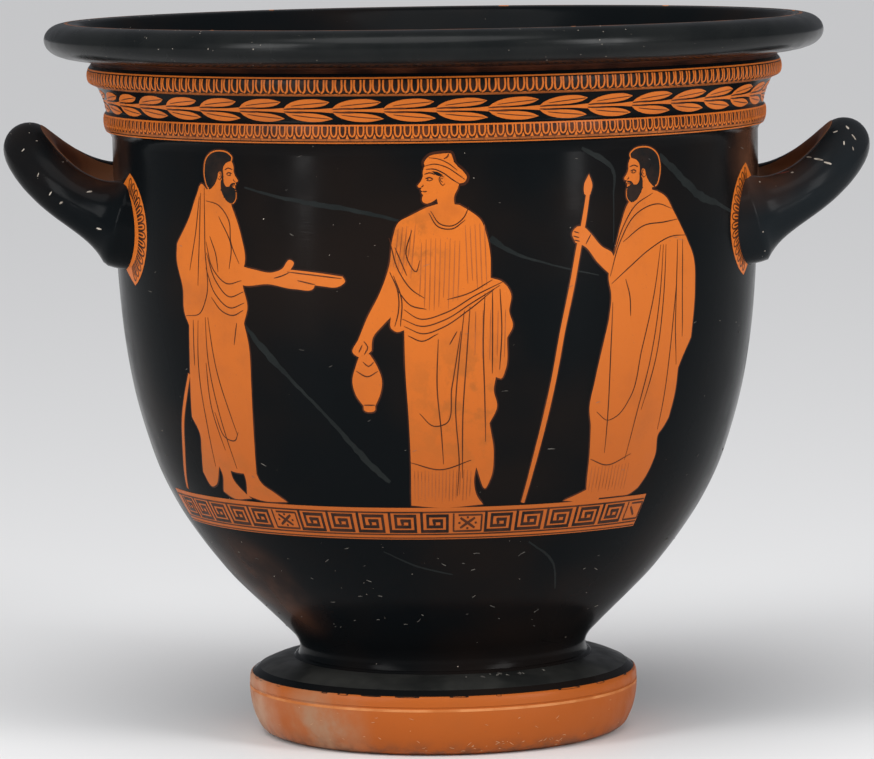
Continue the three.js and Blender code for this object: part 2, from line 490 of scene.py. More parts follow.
# a lighter black for the lip: a painted sheen
lipSheenPaint = paintMaterial("gloss of the lip", (0.0062, 0.0072, 0.0075), (0.0088, 0.0098, 0.0098), 0.24, 30)
wornCrestHighlight = paintMaterial("worn crest", (0.16, 0.065, 0.035), (0.045, 0.034, 0.028), 0.5, 35)
scratchGrey = paintMaterial("scratched gloss", (0.07, 0.065, 0.06), (0.16, 0.15, 0.13), 0.7, 200)
paleSpeck = paintMaterial("pale speck", (0.45, 0.4, 0.34), (0.2, 0.17, 0.14), 0.8, 300)
paleNick = paintMaterial("nick in the clay", (0.5, 0.27, 0.15), (0.36, 0.2, 0.11), 0.7, 200)
redScratch = paintMaterial("red scratch", (0.16, 0.035, 0.025), (0.08, 0.03, 0.025), 0.6, 120)
print("materials made")


# the bowl's outline from under the foot, up the outside, over the lip and down to the floor
vessel = {
    "segments": 264,
    "underFoot": [(0, 50), (30, 49), (56, 43), (73, 32), (83, 17), (87.6, 3), (88.7, 0.4)],
    "ring": [(89.3, 0), (96, 0)],
    "footSide": [(96.7, 0.2), (101.7, 2.4), (105.5, 8.5), (107.9, 16), (109, 24), (109.05, 27)],
    "score": [(108.6, 27.4), (108.6, 27.9)],
    "footEdge": [(108.95, 28.3), (108.7, 32.2), (108.1, 33.6), (106.9, 34.3)],
    "footTop": [(103.5, 36.9), (97.1, 39.6), (90, 41.6), (84.2, 42.5)],
    "step": [(83.6, 42.7), (83.2, 43.5), (81.6, 44.1)],
    "bell": [
        (80.9, 45.6), (80.4, 48.6), (82, 53), (88.3, 60.2), (98.1, 70), (108.3, 80), (118, 90),
        (126.3, 100), (133.9, 110), (147, 130), (156.9, 150), (163.8, 170), (169.3, 190),
        (174.7, 220), (178.4, 260), (179.8, 300), (180.2, 336.2),
    ],
    "lowerBand": [(181.2, 338.4), (183.6, 340.6), (184.6, 344.5), (184.4, 349), (183.3, 351.4)],
    "wreathBand": [(183.5, 352.8), (184.6, 357.5), (186.8, 362.4), (188.6, 365.2)],
    "eggBand": [(190.4, 366), (192.4, 367), (193.5, 370), (193.2, 373.6), (192.4, 375.9)],
    "ledge": [(191.4, 377), (191, 378), (192.6, 379.2)],
    "lip": [
        (199, 380), (207.5, 381.5), (213, 384), (216.2, 387.6), (217, 391), (216, 394.6), (212.6, 398),
        (208, 399.7), (204, 400), (200.4, 399.4),
    ],
    "innerLip": [(198.4, 398.4), (196.6, 396.4), (194.6, 393.6)],
    "inside": [
        (191.6, 389.2), (187, 381), (182.6, 373), (178.4, 363), (175.4, 350), (173, 336), (172.2, 310),
        (170.4, 260), (166.8, 221), (161.4, 191.7), (154.6, 171), (139.8, 134), (120.4, 105.6), (101, 84.5),
        (82, 68), (62, 62.5), (36, 60.6), (0, 60),
    ],
}
sections = [key for key in vessel if key != "segments"]
fineStep = {"bell": 4, "inside": 7, "underFoot": 6, "footSide": 2}


def outlineOf(names):
    line = []
    for name in names:
        line += smoothLine(vessel[name], fineStep.get(name, 1.0))
    return line


def spinPiece(name, line, material, smoothAngle=50):
    piece = lineObject(name, [(p[0] * mm, 0, p[1] * mm) for p in line])
    useTree(piece, spinTree, {"Segments": vessel["segments"], "Material": material})
    freeze(piece)
    tidyMesh(piece, smoothAngle)
    return piece


# the outside wall as a table: radius and slope at each height
wallLine = outlineOf(
    ["footSide", "score", "footEdge", "footTop", "step", "bell", "lowerBand", "wreathBand", "eggBand"]
)
wallUp = np.array([p[1] for p in wallLine])
wallRadius = np.array([p[0] for p in wallLine])
wallSlope = np.gradient(wallRadius, wallUp)


# (round, up, lift) in millimetres to places on the wall in metres
def onWall(flat):
    flat = np.asarray(flat, dtype=float)
    around = flat[:, 0] / wrapRadius
    radius = np.interp(flat[:, 1], wallUp, wallRadius)
    slope = np.clip(np.interp(flat[:, 1], wallUp, wallSlope), -1.5, 1.5)
    outward = 1 / np.sqrt(1 + slope**2)
    radius = radius + flat[:, 2] * outward
    up = flat[:, 1] - flat[:, 2] * slope * outward
    return np.stack([radius * np.sin(around), -radius * np.cos(around), up], axis=1) * mm


bowl = spinPiece("bowl", outlineOf(sections), blackGloss)


# a thin closed ring that follows one stretch of the outline, standing lift proud of it
def ringBand(name, line, lift, material, depth=0.5):
    outer = []
    inner = []
    for i, p in enumerate(line):
        along = line[min(i + 1, len(line) - 1)] - line[max(i - 1, 0)]
        out = Vector((along[1], -along[0])).normalized()
        outer.append(p + out * lift)
        inner.append(p - out * depth)
    loop = outer + inner[::-1] + [outer[0]]
    return spinPiece(name, loop, material, 30)


def stretchOf(names, low, high):
    return [p for p in outlineOf(names) if low <= p[1] <= high]


bands = [
    ringBand("footSideBand", outlineOf(["footSide", "score", "footEdge"])[:-1], 0.1, footClay),
    # the foot's top in a rougher, lighter gloss: wear, with a painted sheen in its lighter colour
    ringBand("footTopWorn", outlineOf(["footTop"]), 0.05, wornGlossSheen),
    # a pale clay line along the score: a painted highlight on its edge
    ringBand("scoreEdge", smoothLine([(109.02, 25.7), (109.04, 26.4), (109.05, 27.1)], 1), 0.16, paleClay),
    ringBand("footUnderside", outlineOf(["underFoot"])[3:], 0.05, footClay),
    ringBand("neckUnderStrip", stretchOf(["bell", "lowerBand"], 339.8, 340.9), 0.2, reservedClay),
    ringBand("tongueGround", stretchOf(["lowerBand"], 340.8, 349.4), 0.06, tongueGround),
    ringBand("neckLine", stretchOf(["lowerBand"], 348.9, 350.3), 0.2, reservedClay),
    ringBand("eggUnderLine", stretchOf(["wreathBand", "eggBand"], 365.1, 366.4), 0.16, tongueStrip),
    ringBand("eggGround", stretchOf(["eggBand"], 366.3, 373.8), 0.06, bandGround),
    ringBand("ledgeLine", stretchOf(["eggBand"], 374.1, 375.3), 0.16, reservedClay),
    # this ring and the ledge ring below are dark brown: reserved clay under a wash, darkened as painted shade
    # in the recess under the lip
    ringBand("underLip", outlineOf(["ledge", "lip"])[3:11], 0.08, contourAndLipShade),
    # a thin line along the crest: brown wear, and a grey painted highlight on its edge
    ringBand("crestLine", smoothLine([(206, 399.9), (204.9, 400.02), (203.8, 400.02)], 1), 0.1, wornCrestHighlight),
    ringBand("ledgeGap", outlineOf(["ledge"]), 0.05, contourAndLipShade),
    # the outer face and top of the lip in a lighter gloss: a painted sheen
    ringBand("lipWorn", outlineOf(["lip"])[11:], 0.05, lipSheenPaint),
]
print("bowl spun:", len(bowl.data.polygons), "faces")


# the handles: one path per handle, the same as in the solid
handles = {
    "rod": 14.2,
    "flare": 12.6,  # how much wider the rod is at the wall
    "flareLength": 9,
    "shoulder": 180.2,
    "spread": 44,
    "stop": 175.8,  # how far from the axis the ends stop
    "clayStrip": 62,  # degrees to each side that were left in clay
    "limb": [(78, 2, -0.1), (56, 0, 0), (38, -1, 0.18), (22, -6, 0.42), (10, -16, 0.68), (2.2, -30, 0.91)],
    "right": {"side": 1, "reach": 228.6, "bend": 326.5, "root": 290, "lift": 1.5},
    "left": {"side": -1, "reach": 227, "bend": 330.5, "root": 292, "lift": 6},
}


def handlePath(one):
    rise = one["bend"] - one["root"]
    front = []
    back = []
    for short, wider, share in handles["limb"]:
        out = one["reach"] - short
        across = handles["spread"] + wider
        up = one["root"] + share * rise
        front.append((out * one["side"], -across, up))
        back.append((out * one["side"], across, up + one["lift"] * (1 - share)))
    knots = front + [(one["reach"] * one["side"], 0, one["bend"])] + back[::-1]
    return smoothLine(knots, 2.5)


def sweepPiece(name, path, sizes, section, material):
    piece = lineObject(name, [p * mm for p in path])
    mark = piece.data.attributes.new("rodSize", "FLOAT", "POINT")
    mark.data.foreach_set("value", sizes)
    useTree(piece, sweepTree, {"Section": section, "Material": material})
    freeze(piece)
    # the ends stop inside the thickness of the wall
    for vertex in piece.data.vertices:
        away = math.hypot(vertex.co.x, vertex.co.y)
        if away < handles["stop"] * mm:
            vertex.co.x *= handles["stop"] * mm / away
            vertex.co.y *= handles["stop"] * mm / away
    tidyMesh(piece, 50)
    return piece


def arcPoints(radius, start, stop, count):
    turns = [math.radians(start + (stop - start) * i / (count - 1)) for i in range(count)]
    return [(radius * math.cos(turn), radius * math.sin(turn), 0) for turn in turns]


roundSection = lineObject("roundSection", arcPoints(1.0, 0, 350, 36), True)
handlePieces = []
handleRods = {}
for label in ("right", "left"):
    one = handles[label]
    path = handlePath(one)
    sizes = []
    for p in path:
        fromWall = max(math.hypot(p.x, p.y) - handles["shoulder"], 0)
        flare = handles["flare"] * math.exp(-fromWall / handles["flareLength"])
        sizes.append(mm * (handles["rod"] + flare))
    handleRods[label] = sweepPiece(label + "Handle", path, sizes, roundSection, handleGloss[label])
    handlePieces.append(handleRods[label])
    # the side towards the wall was left in clay, coloured dark as painted shade
    inward = 0 if label == "left" else 180
    start, stop = inward - handles["clayStrip"], inward + handles["clayStrip"]
    strip = arcPoints(1.012, start, stop, 22) + arcPoints(0.93, stop, start, 22)
    stripSection = lineObject(label + "Strip", strip, True)
    handlePieces.append(sweepPiece(label + "HandleInside", path, sizes, stripSection, shadedHandleClay))
    bpy.data.objects.remove(stripSection)
bpy.data.objects.remove(roundSection)
print("handles swept")


# flat drawing on the wall. A shape is a list of runs: each run is smooth, runs meet in corners.
def shapeLine(runs, step=1.6):
    line = []
    for run in runs:
        part = smoothLine(run, step) if len(run) > 2 else [Vector(p) for p in run]
        if line and (line[-1] - part[0]).length < 1e-4:
            part = part[1:]
        line += part
    if (line[0] - line[-1]).length < 1e-4:
        line.pop()
    return line


def densify(line, longest):
    out = []
    for a, b in zip(line, line[1:] + line[:1]):
        count = max(1, math.ceil((b - a).length / longest))
        out += [a.lerp(b, k / count) for k in range(count)]
    return out


# which of the spots lie inside the outline
def insideOutline(spots, border):
    following = np.roll(border, -1, axis=0)
    x, y = spots[:, :1], spots[:, 1:]
    crossed = (border[:, 1] > y) != (following[:, 1] > y)
    rise = following[:, 1] - border[:, 1]
    rise = np.where(rise == 0, 1, rise)
    crossing = border[:, 0] + (y - border[:, 1]) / rise * (following[:, 0] - border[:, 0])
    return (crossed & (x < crossing)).sum(axis=1) % 2 == 1


def straightShape(points):
    return [Vector(p) for p in points]


def boxShape(left, bottom, right, top):
    return straightShape([(left, bottom), (right, bottom), (right, top), (left, top)])


# one closed thin slab: flat vertices (round, up, lift) and faces
def slab(line, lift, depth=0.35, grid=5.0):
    line = densify([Vector(p) for p in line], grid)
    border = np.array(line)
    low, high = border.min(axis=0), border.max(axis=0)
    across = np.arange(math.ceil(low[0] / grid) * grid, high[0], grid)
    upward = np.arange(math.ceil(low[1] / grid) * grid, high[1], grid)
    spots = np.stack(np.meshgrid(across, upward), axis=-1).reshape(-1, 2)
    inner = []
    if len(spots):
        away = np.linalg.norm(spots[:, None] - border[None], axis=2).min(axis=1)
        inner = [Vector(p) for p in spots[insideOutline(spots, border) & (away > 0.35 * grid)]]
    flat, _, faces, *_ = delaunay_2d_cdt(line + inner, [], [list(range(len(line)))], 1, 1e-5, False)
    middles = np.array([sum((flat[i] for i in f), Vector((0, 0))) / len(f) for f in faces])
    kept = []
    for face, inside in zip(faces, insideOutline(middles, border)):
        a, b, c = (flat[i] for i in face)
        size = (b - a).cross(c - a)
        if inside and abs(size) > 0.002:
            kept.append(list(face) if size > 0 else list(face)[::-1])
    faces = kept
    count = len(flat)
    vertices = [(p.x, p.y, lift) for p in flat] + [(p.x, p.y, -depth) for p in flat]
    edges = {}
    for face in faces:
        for i, a in enumerate(face):
            b = face[(i + 1) % len(face)]
            edges[(a, b)] = True
    allFaces = faces + [[i + count for i in reversed(f)] for f in faces]
    for a, b in edges:
        if (b, a) not in edges:
            allFaces.append([b, a, a + count, b + count])
    return vertices, allFaces


# the outline moved outwards by a fixed distance
def grown(line, distance):
    area = sum(a.cross(b) for a, b in zip(line, line[1:] + line[:1]))
    sign = 1 if area > 0 else -1
    out = []
    for before, p, after in zip(line[-1:] + line[:-1], line, line[1:] + line[:1]):
        along = (after - before).normalized()
        out.append(p + Vector((along.y, -along.x)) * sign * distance)
    # points that fold back into a corner are left out
    border = np.array(line)
    return [p for p in out if np.linalg.norm(border - np.array(p), axis=1).min() >= 0.94 * distance]


# one closed thin stroke of the brush, tapered at its ends
def stroke(points, width, lift, taper=0.5, step=2.0, depth=0.12):
    if len(points) > 2:
        line = smoothLine(points, step)
    else:
        start, stop = Vector(points[0]), Vector(points[1])
        count = max(4, math.ceil((stop - start).length / step))
        line = [start.lerp(stop, k / count) for k in range(count + 1)]
    vertices = []
    last = len(line) - 1
    for i, p in enumerate(line):
        along = (line[min(i + 1, last)] - line[max(i - 1, 0)]).normalized()
        side = Vector((-along.y, along.x))
        share = min(i, last - i) / max(last, 1)
        half = width / 2 * (taper + (1 - taper) * min(1, 5 * share))
        left = p + side * half
        right = p - side * half
        vertices += [(left.x, left.y, lift), (right.x, right.y, lift)]
        vertices += [(left.x, left.y, -depth), (right.x, right.y, -depth)]
    faces = []
    for i in range(last):
        a = 4 * i
        b = a + 4
        faces += [[a, a + 1, b + 1, b], [a + 2, b + 2, b + 3, a + 3]]
        faces += [[a, b, b + 2, a + 2], [a + 1, a + 3, b + 3, b + 1]]
    end = 4 * last
    faces += [[0, 2, 3, 1], [end, end + 1, end + 3, end + 2]]
    return vertices, faces


# how far each layer of the drawing stands proud of the wall, so that it hides what is under it
layers = {
    "mend": 0.04,
    "contour": 0.05,
    "clay": 0.12,
    "face": 0.13,
    "staff": 0.14,
    "hairEdge": 0.15,
    "wash": 0.18,
    "line": 0.2,
    "paint": 0.22,
    "scratch": 0.24,
    "ear": 0.26,
    "earLine": 0.32,
}


class FlatDrawing:
    # gathers slabs and strokes that share a material, then lays them on the wall as one piece
    def __init__(self, name, material):
        self.name = name
        self.material = material
        self.vertices = []
        self.faces = []

    def add(self, part):
        vertices, faces = part
        start = len(self.vertices)
        self.vertices += vertices
        self.faces += [[i + start for i in f] for f in faces]

    def lay(self):
        piece = meshObject(self.name, onWall(self.vertices), self.faces)
        piece.data.materials.append(self.material)
        tidyMesh(piece)
        return piece

    def asMotif(self):
        # flat in the XZ plane, lift towards -Y
        return meshObject(self.name, [(x, -lift, up) for x, up, lift in self.vertices], self.faces)


# repeats a motif flat by geometry nodes, then lays the row on the wall
def repeatOnWall(motif, count, start, shift, wobble=0.0, seed=1):
    name = motif.name
    source = motif.asMotif()
    piece = meshObject(name + "Row", [(0, 0, 0)], [])
    useTree(
        piece,
        repeatTree,
        {
            "Motif": source,
            "Count": count,
            "Start": (start[0], 0, start[1]),
            "Shift": (shift[0], 0, shift[1]),
            "Wobble": wobble,
            "Seed": seed,
            "Material": motif.material,
        },
    )
    freeze(piece)
    bpy.data.objects.remove(source)
    flat = np.empty(3 * len(piece.data.vertices))
    piece.data.vertices.foreach_get("co", flat)
    flat = flat.reshape(-1, 3)
    wrapped = onWall(np.stack([flat[:, 0], flat[:, 2], -flat[:, 1]], axis=1))
    piece.data.vertices.foreach_set("co", wrapped.ravel())
    tidyMesh(piece)
    return piece


wayRound = 2 * math.pi * wrapRadius
ornament = {
    "eggs": 240,
    "eggWidth": 3.1,
    "eggLine": 0.9,
    "tongues": 236,
    "tongueLine": 0.85,
    "leaves": 42,
    "leafMiddle": 357.4,
    "dashes": 180,
    "dashHeight": 341.8,
}
pieces = [bowl, *bands, *handlePieces]


# egg band under the ledge: a U-shaped line round each egg and a dart between two eggs
pitch = wayRound / ornament["eggs"]
half = ornament["eggWidth"] / 2


def loopPoints(half, top, low):
    drop = top - low
    return [(-half, top), (-half, low + 0.36 * drop), (-half * 0.7, low + 0.12 * drop), (0, low),
            (half * 0.7, low + 0.12 * drop), (half, low + 0.36 * drop), (half, top)]


def dart(at, top, low, half):
    return straightShape([(at - half, low), (at + half, low), (at, top)])


egg = FlatDrawing("eggs", reservedClay)
egg.add(stroke(loopPoints(half, 373.8, 367.0), ornament["eggLine"], 0.22, 1.0, 1.6))
egg.add(slab(dart(pitch / 2, 368.6, 366.2, 0.95), 0.2))
pieces.append(repeatOnWall(egg, ornament["eggs"], (-wayRound / 2, 0), (pitch, 0), wobble=0.22, seed=3))

# tongue band on the lower moulding
pitch = wayRound / ornament["tongues"]
tongue = FlatDrawing("tongues", reservedClay)
tongue.add(stroke(loopPoints(1.45, 349.2, 343.6), ornament["tongueLine"], 0.22, 1.0, 1.8))
tongue.add(slab(dart(pitch / 2, 344.9, 342.5, 0.9), 0.2))
pieces.append(repeatOnWall(tongue, ornament["tongues"], (-wayRound / 2, 0), (pitch, 0), wobble=0.26, seed=8))
brownStrip = FlatDrawing("brownStrip", tongueStrip)
dashes = ornament["dashes"]
for i in range(dashes):
    ends = [(wayRound * part / dashes, ornament["dashHeight"]) for part in (i, i + 0.96)]
    brownStrip.add(stroke(ends, 1.1, 0.16, 1.0, 4))

# laurel wreath in the hollow of the neck: a stem that widens, with a pair of leaves at each node
pitch = wayRound / ornament["leaves"]
middle = ornament["leafMiddle"]


def leafRuns(side):
    long = 0.99 if side > 0 else 1.02
    outer = [(0, 0.5), (0.1, 2.9), (0.3, 5.1), (0.58, 6.1), (0.82, 5.8), (long, 4.5)]
    inner = [(long, 4.5), (0.9, 3.0), (0.72, 1.9), (0.4, 1.35), (0, 0.5)]
    return [[(pitch * x, middle + side * y) for x, y in run] for run in (outer, inner)]


leaf = FlatDrawing("leaves", reservedClay)
rib = FlatDrawing("leafRibs", reliefLine)
for side in (1, -1):
    leaf.add(slab(shapeLine(leafRuns(side), 3), 0.14, grid=5))
    ribLine = [(0.2, 2.4), (0.55, 3.5), (0.95, 4.4)]
    rib.add(stroke([(pitch * x, middle + side * y) for x, y in ribLine], 0.5, 0.3, 0.5, 3))
    gapLine = [(0.03, 0.7), (0.2, 1.0), (0.45, 1.15)]
    rib.add(stroke([(pitch * x, middle + side * y) for x, y in gapLine], 0.75, 0.3, 0.5, 3))
stemShape = [(-0.02, 0.9), (0.35, 0.42), (0.75, 0.7), (1.02, 1.3)]
stem = [(pitch * x, middle + y) for x, y in stemShape]
stem += [(pitch * x, middle - y) for x, y in stemShape[::-1]]
leaf.add(slab(straightShape(stem), 0.15, grid=5))
pieces.append(repeatOnWall(leaf, ornament["leaves"], (-wayRound / 2, 0), (pitch, 0), seed=5))
pieces.append(repeatOnWall(rib, ornament["leaves"], (-wayRound / 2, 0), (pitch, 0), wobble=0.2, seed=6))
pieces.append(brownStrip.lay())
print("neck bands laid")


# key pattern under the front picture
keyPanel = {
    "left": -218,
    "right": 144,
    "ground": (125.4, 143.6),
    "ruledLines": [(141.0, 0.9), (128.3, 0.8), (126.2, 0.6)],
    "square": 20.4,
    "crossSquares": [-115.6, 6.8, 129.2],
    "squareHeights": (129.2, 140.2),
    "lineWidth": 1.75,
    "crossArm": (4.6, 2.9),
    "crossDots": ((0, 3.1), (0, -3.1), (5.2, 0), (-5.2, 0)),
}
haloShapes = FlatDrawing("contourStripe", contourAndLipShade)
clayShapes = FlatDrawing("clayShapes", reservedClay)
blackShapes = FlatDrawing("blackShapes", blackPaint)
fineLines = FlatDrawing("fineLines", reliefLine)
washLines = FlatDrawing("washLines", diluteLine)


bottom, top = keyPanel["ground"]
clayShapes.add(slab(boxShape(keyPanel["left"] - 6, bottom, keyPanel["right"], top), layers["clay"]))
for up, thick in keyPanel["ruledLines"]:
    ends = [(keyPanel["left"] - 5, up), (keyPanel["right"] - 0.6, up)]
    fineLines.add(stroke(ends, thick, layers["line"], 1.0, 5))
low, high = keyPanel["squareHeights"]
side = keyPanel["square"]
keySquare = FlatDrawing("keySquares", keyLine)
keyTurns = [
    (1.2, high + 0.3), (1.2, low + 0.9), (side - 3.0, low + 0.9), (side - 3.0, high - 1.2),
    (5.0, high - 1.2), (5.0, low + 3.5), (side - 6.6, low + 3.5), (side - 6.6, high - 4.0),
    (8.8, high - 4.0), (9.2, low + 5.4),
]
for a, b in zip(keyTurns, keyTurns[1:]):
    along = (Vector(b) - Vector(a)).normalized() * keyPanel["lineWidth"] / 2
    ends = [Vector(a) - along, Vector(b) + along]
    keySquare.add(stroke(ends, keyPanel["lineWidth"], layers["line"], 0.9, 4))
runs = []
edge = keyPanel["left"] - 3
for cross in keyPanel["crossSquares"]:
    runs.append((cross - side * int((cross - edge) / side), int((cross - edge) / side)))
    edge = cross + side
source = keySquare
for number, (first, count) in enumerate(runs):
    if number:
        source = FlatDrawing("keySquares" + str(number), keyLine)
        source.add((keySquare.vertices, keySquare.faces))
    pieces.append(repeatOnWall(source, count, (first, 0), (side, 0), wobble=0.25, seed=20 + number))
for cross in keyPanel["crossSquares"]:
    left, right = cross + 1.2, min(cross + side - 1.4, keyPanel["right"] - 0.8)
    middle = (low + high) / 2
    for line in ([(left, high), (left, low + 0.6)], [(left, low + 0.8), (right, low + 0.8)],
                 [(right, low + 0.6), (right, high - 0.8)], [(left + 3, high - 1), (right, high - 1)]):
        fineLines.add(stroke(line, 1.1, layers["line"], 0.9, 4))
    if right - left < 14:
        arm = [(left + 3, middle + 2.6), (left + 8, middle - 2.4)]
        fineLines.add(stroke(arm, 1.4, layers["line"], 0.8, 3))
        continue
    centre = (left + right) / 2
    reach, rise = keyPanel["crossArm"]
    for lean in (1, -1):
        arm = [(centre - reach, middle - rise * lean), (centre + reach, middle + rise * lean)]
        fineLines.add(stroke(arm, 1.5, layers["line"], 0.8, 3))
    for dx, dy in keyPanel["crossDots"]:
        dot = [(centre + dx - 0.7, middle + dy), (centre + dx + 0.7, middle + dy)]
        fineLines.add(stroke(dot, 1.2, layers["line"], 0.7, 1))
print("key panel drawn")


# a head in profile, drawn on plain proportions. Its units: chin 0, crown 1, facing +x.
faceLine = [
    [(0.28, 0.9), (0.39, 0.79), (0.43, 0.66), (0.425, 0.585)],
    [(0.425, 0.585), (0.465, 0.49), (0.545, 0.385)],
    [(0.545, 0.385), (0.53, 0.35), (0.445, 0.345)],
    [(0.445, 0.345), (0.478, 0.3), (0.466, 0.275), (0.44, 0.262)],
    [(0.44, 0.262), (0.466, 0.235), (0.45, 0.205), (0.425, 0.18)],
    [(0.425, 0.18), (0.452, 0.12), (0.44, 0.04), (0.37, 0.0), (0.27, 0.02), (0.14, 0.1)],
    [(0.14, 0.1), (0.12, -0.02), (0.17, -0.2)],
    [(0.17, -0.2), (-0.36, -0.24)],
    [(-0.36, -0.24), (-0.24, -0.05), (-0.23, 0.15), (-0.3, 0.3)],
    [(-0.3, 0.3), (-0.38, 0.6), (-0.2, 0.9), (0.06, 0.98), (0.28, 0.9)],
]
faceMarks = [
    ([(0.215, 0.52), (0.29, 0.555), (0.375, 0.53)], 0.036),
    ([(0.225, 0.51), (0.29, 0.485), (0.355, 0.497)], 0.024),
    ([(0.17, 0.615), (0.27, 0.655), (0.395, 0.625)], 0.032),
    ([(0.47, 0.362), (0.43, 0.37), (0.425, 0.405)], 0.024),
    ([(0.44, 0.262), (0.39, 0.252), (0.35, 0.262)], 0.03),
]
earRound = [(-0.02, 0.56), (0.05, 0.58), (0.085, 0.52), (0.06, 0.44), (0.01, 0.385), (-0.035, 0.42)]
earShape = [earRound + earRound[:1]]
earMarks = [
    (earRound, 0.018),
    ([(0.0, 0.53), (0.045, 0.54), (0.05, 0.48), (0.01, 0.45)], 0.018),
]
templeLock = [[(0.24, 0.69), (0.13, 0.675), (0.0, 0.6)], [(0.0, 0.6), (0.1, 0.585), (0.24, 0.69)]]
shortHair = [
    [(0.35, 0.82), (0.37, 0.89), (0.28, 0.98), (0.05, 1.03), (-0.2, 0.99), (-0.38, 0.85), (-0.45, 0.62),
     (-0.43, 0.38), (-0.34, 0.2), (-0.25, 0.18)],
    [(-0.25, 0.18), (-0.17, 0.25), (-0.1, 0.34), (-0.05, 0.44)],
    [(-0.05, 0.44), (0.03, 0.47), (0.09, 0.38)],
    [(0.09, 0.38), (0.125, 0.42), (0.12, 0.54), (0.125, 0.66), (0.2, 0.76), (0.35, 0.82)],
]
fullBeard = [
    [(0.125, 0.42), (0.14, 0.31), (0.2, 0.235), (0.29, 0.235)],
    [(0.29, 0.235), (0.35, 0.305), (0.455, 0.328)],
    [(0.455, 0.33), (0.47, 0.29), (0.4, 0.278), (0.375, 0.25), (0.39, 0.225), (0.445, 0.205)],
    [(0.445, 0.205), (0.475, 0.08), (0.455, -0.06), (0.37, -0.14), (0.23, -0.11), (0.12, 0.01), (0.05, 0.16),
     (0.04, 0.3)],
    [(0.04, 0.3), (0.06, 0.38), (0.125, 0.42)],
]
headCloth = [
    [(0.35, 0.74), (0.40, 0.86), (0.30, 1.0), (0.05, 1.06), (-0.12, 1.07)],
    [(-0.12, 1.07), (-0.17, 1.06), (-0.2, 0.99), (-0.24, 0.86), (-0.42, 0.68), (-0.5, 0.55), (-0.44, 0.44),
     (-0.34, 0.42)],
    [(-0.34, 0.42), (-0.2, 0.5), (0.0, 0.64), (0.2, 0.73), (0.35, 0.74)],
]
clothMarks = [
    ([(0.36, 0.73), (0.2, 0.735), (0.0, 0.65), (-0.2, 0.5), (-0.34, 0.41)], 0.026),
    ([(0.39, 0.8), (0.2, 0.84), (-0.05, 0.78), (-0.3, 0.62), (-0.46, 0.5)], 0.022),
    ([(0.3, 0.98), (0.1, 0.95), (-0.1, 0.86), (-0.3, 0.7)], 0.02),
    ([(-0.12, 1.06), (-0.1, 1.0), (-0.02, 0.95)], 0.03),
]


def placed(points, at, size, facing):
    return [(at[0] + facing * size * x, at[1] + size * y) for x, y in points]


# small curls along the edge of the hair and the beard
def drawCurls(at, size, facing, points, seed):
    chance = random.Random(seed)
    for x, y in placed(points, at, size, facing):
        dx = chance.uniform(-0.25, 0.25)
        blackShapes.add(stroke([(x - 0.45 + dx, y), (x + 0.45 + dx, y + 0.2)], 0.8, layers["line"], 0.7, 0.6))


def drawHead(at, size, facing, hair=shortHair, beard=True):
    def put(runs, grow=0.0):
        line = shapeLine([placed(run, at, size, facing) for run in runs], 0.6)
        return grown(line, grow)

    haloShapes.add(slab(put(faceLine, 0.9), layers["contour"], grid=3))
    haloShapes.add(slab(put(hair, 1.5), layers["contour"], grid=3))
    clayShapes.add(slab(put(faceLine), layers["face"], grid=3))
    if hair is headCloth:
        clayShapes.add(slab(put(headCloth), layers["hairEdge"], grid=3))
        for points, width in clothMarks:
            fold = placed(points, at, size, facing)
            fineLines.add(stroke(fold, size * width, layers["paint"], 0.5, 1.5))
        blackShapes.add(slab(put(templeLock), layers["paint"], grid=3))
    else:
        clayShapes.add(slab(put(hair, 0.75), layers["hairEdge"], grid=3))
        blackShapes.add(slab(put(hair), layers["paint"], grid=3))
        drawCurls(at, size, facing, [(-0.3 + 0.03 * i, 0.17 + 0.012 * i * i) for i in range(7)], 4)
    if beard:
        haloShapes.add(slab(put(fullBeard, 1.2), layers["contour"], grid=3))
        clayShapes.add(slab(put(fullBeard, 0.45), layers["hairEdge"], grid=3))
        blackShapes.add(slab(put(fullBeard), layers["paint"], grid=3))
        drawCurls(at, size, facing, [(0.47 - 0.004 * i * i, 0.17 - 0.05 * i) for i in range(6)], 5)
        drawCurls(at, size, facing, [(0.35 - 0.05 * i, -0.14 + 0.008 * i * i) for i in range(7)], 6)
    clayShapes.add(slab(put(earShape), layers["ear"], grid=3))
    for points, width in faceMarks:
        mark = placed(points, at, size, facing)
        fineLines.add(stroke(mark, 0.8 * size * width, layers["paint"], 0.6, 0.8))
    for points, width in earMarks:
        mark = placed(points, at, size, facing)
        fineLines.add(stroke(mark, size * width, layers["earLine"], 0.7, 0.8))
    iris = placed([(0.325, 0.518)], at, size, facing)[0]
    iris = [(iris[0] - 0.3, iris[1]), (iris[0] + 0.3, iris[1])]
    fineLines.add(stroke(iris, 0.75, layers["paint"], 0.8, 0.5))


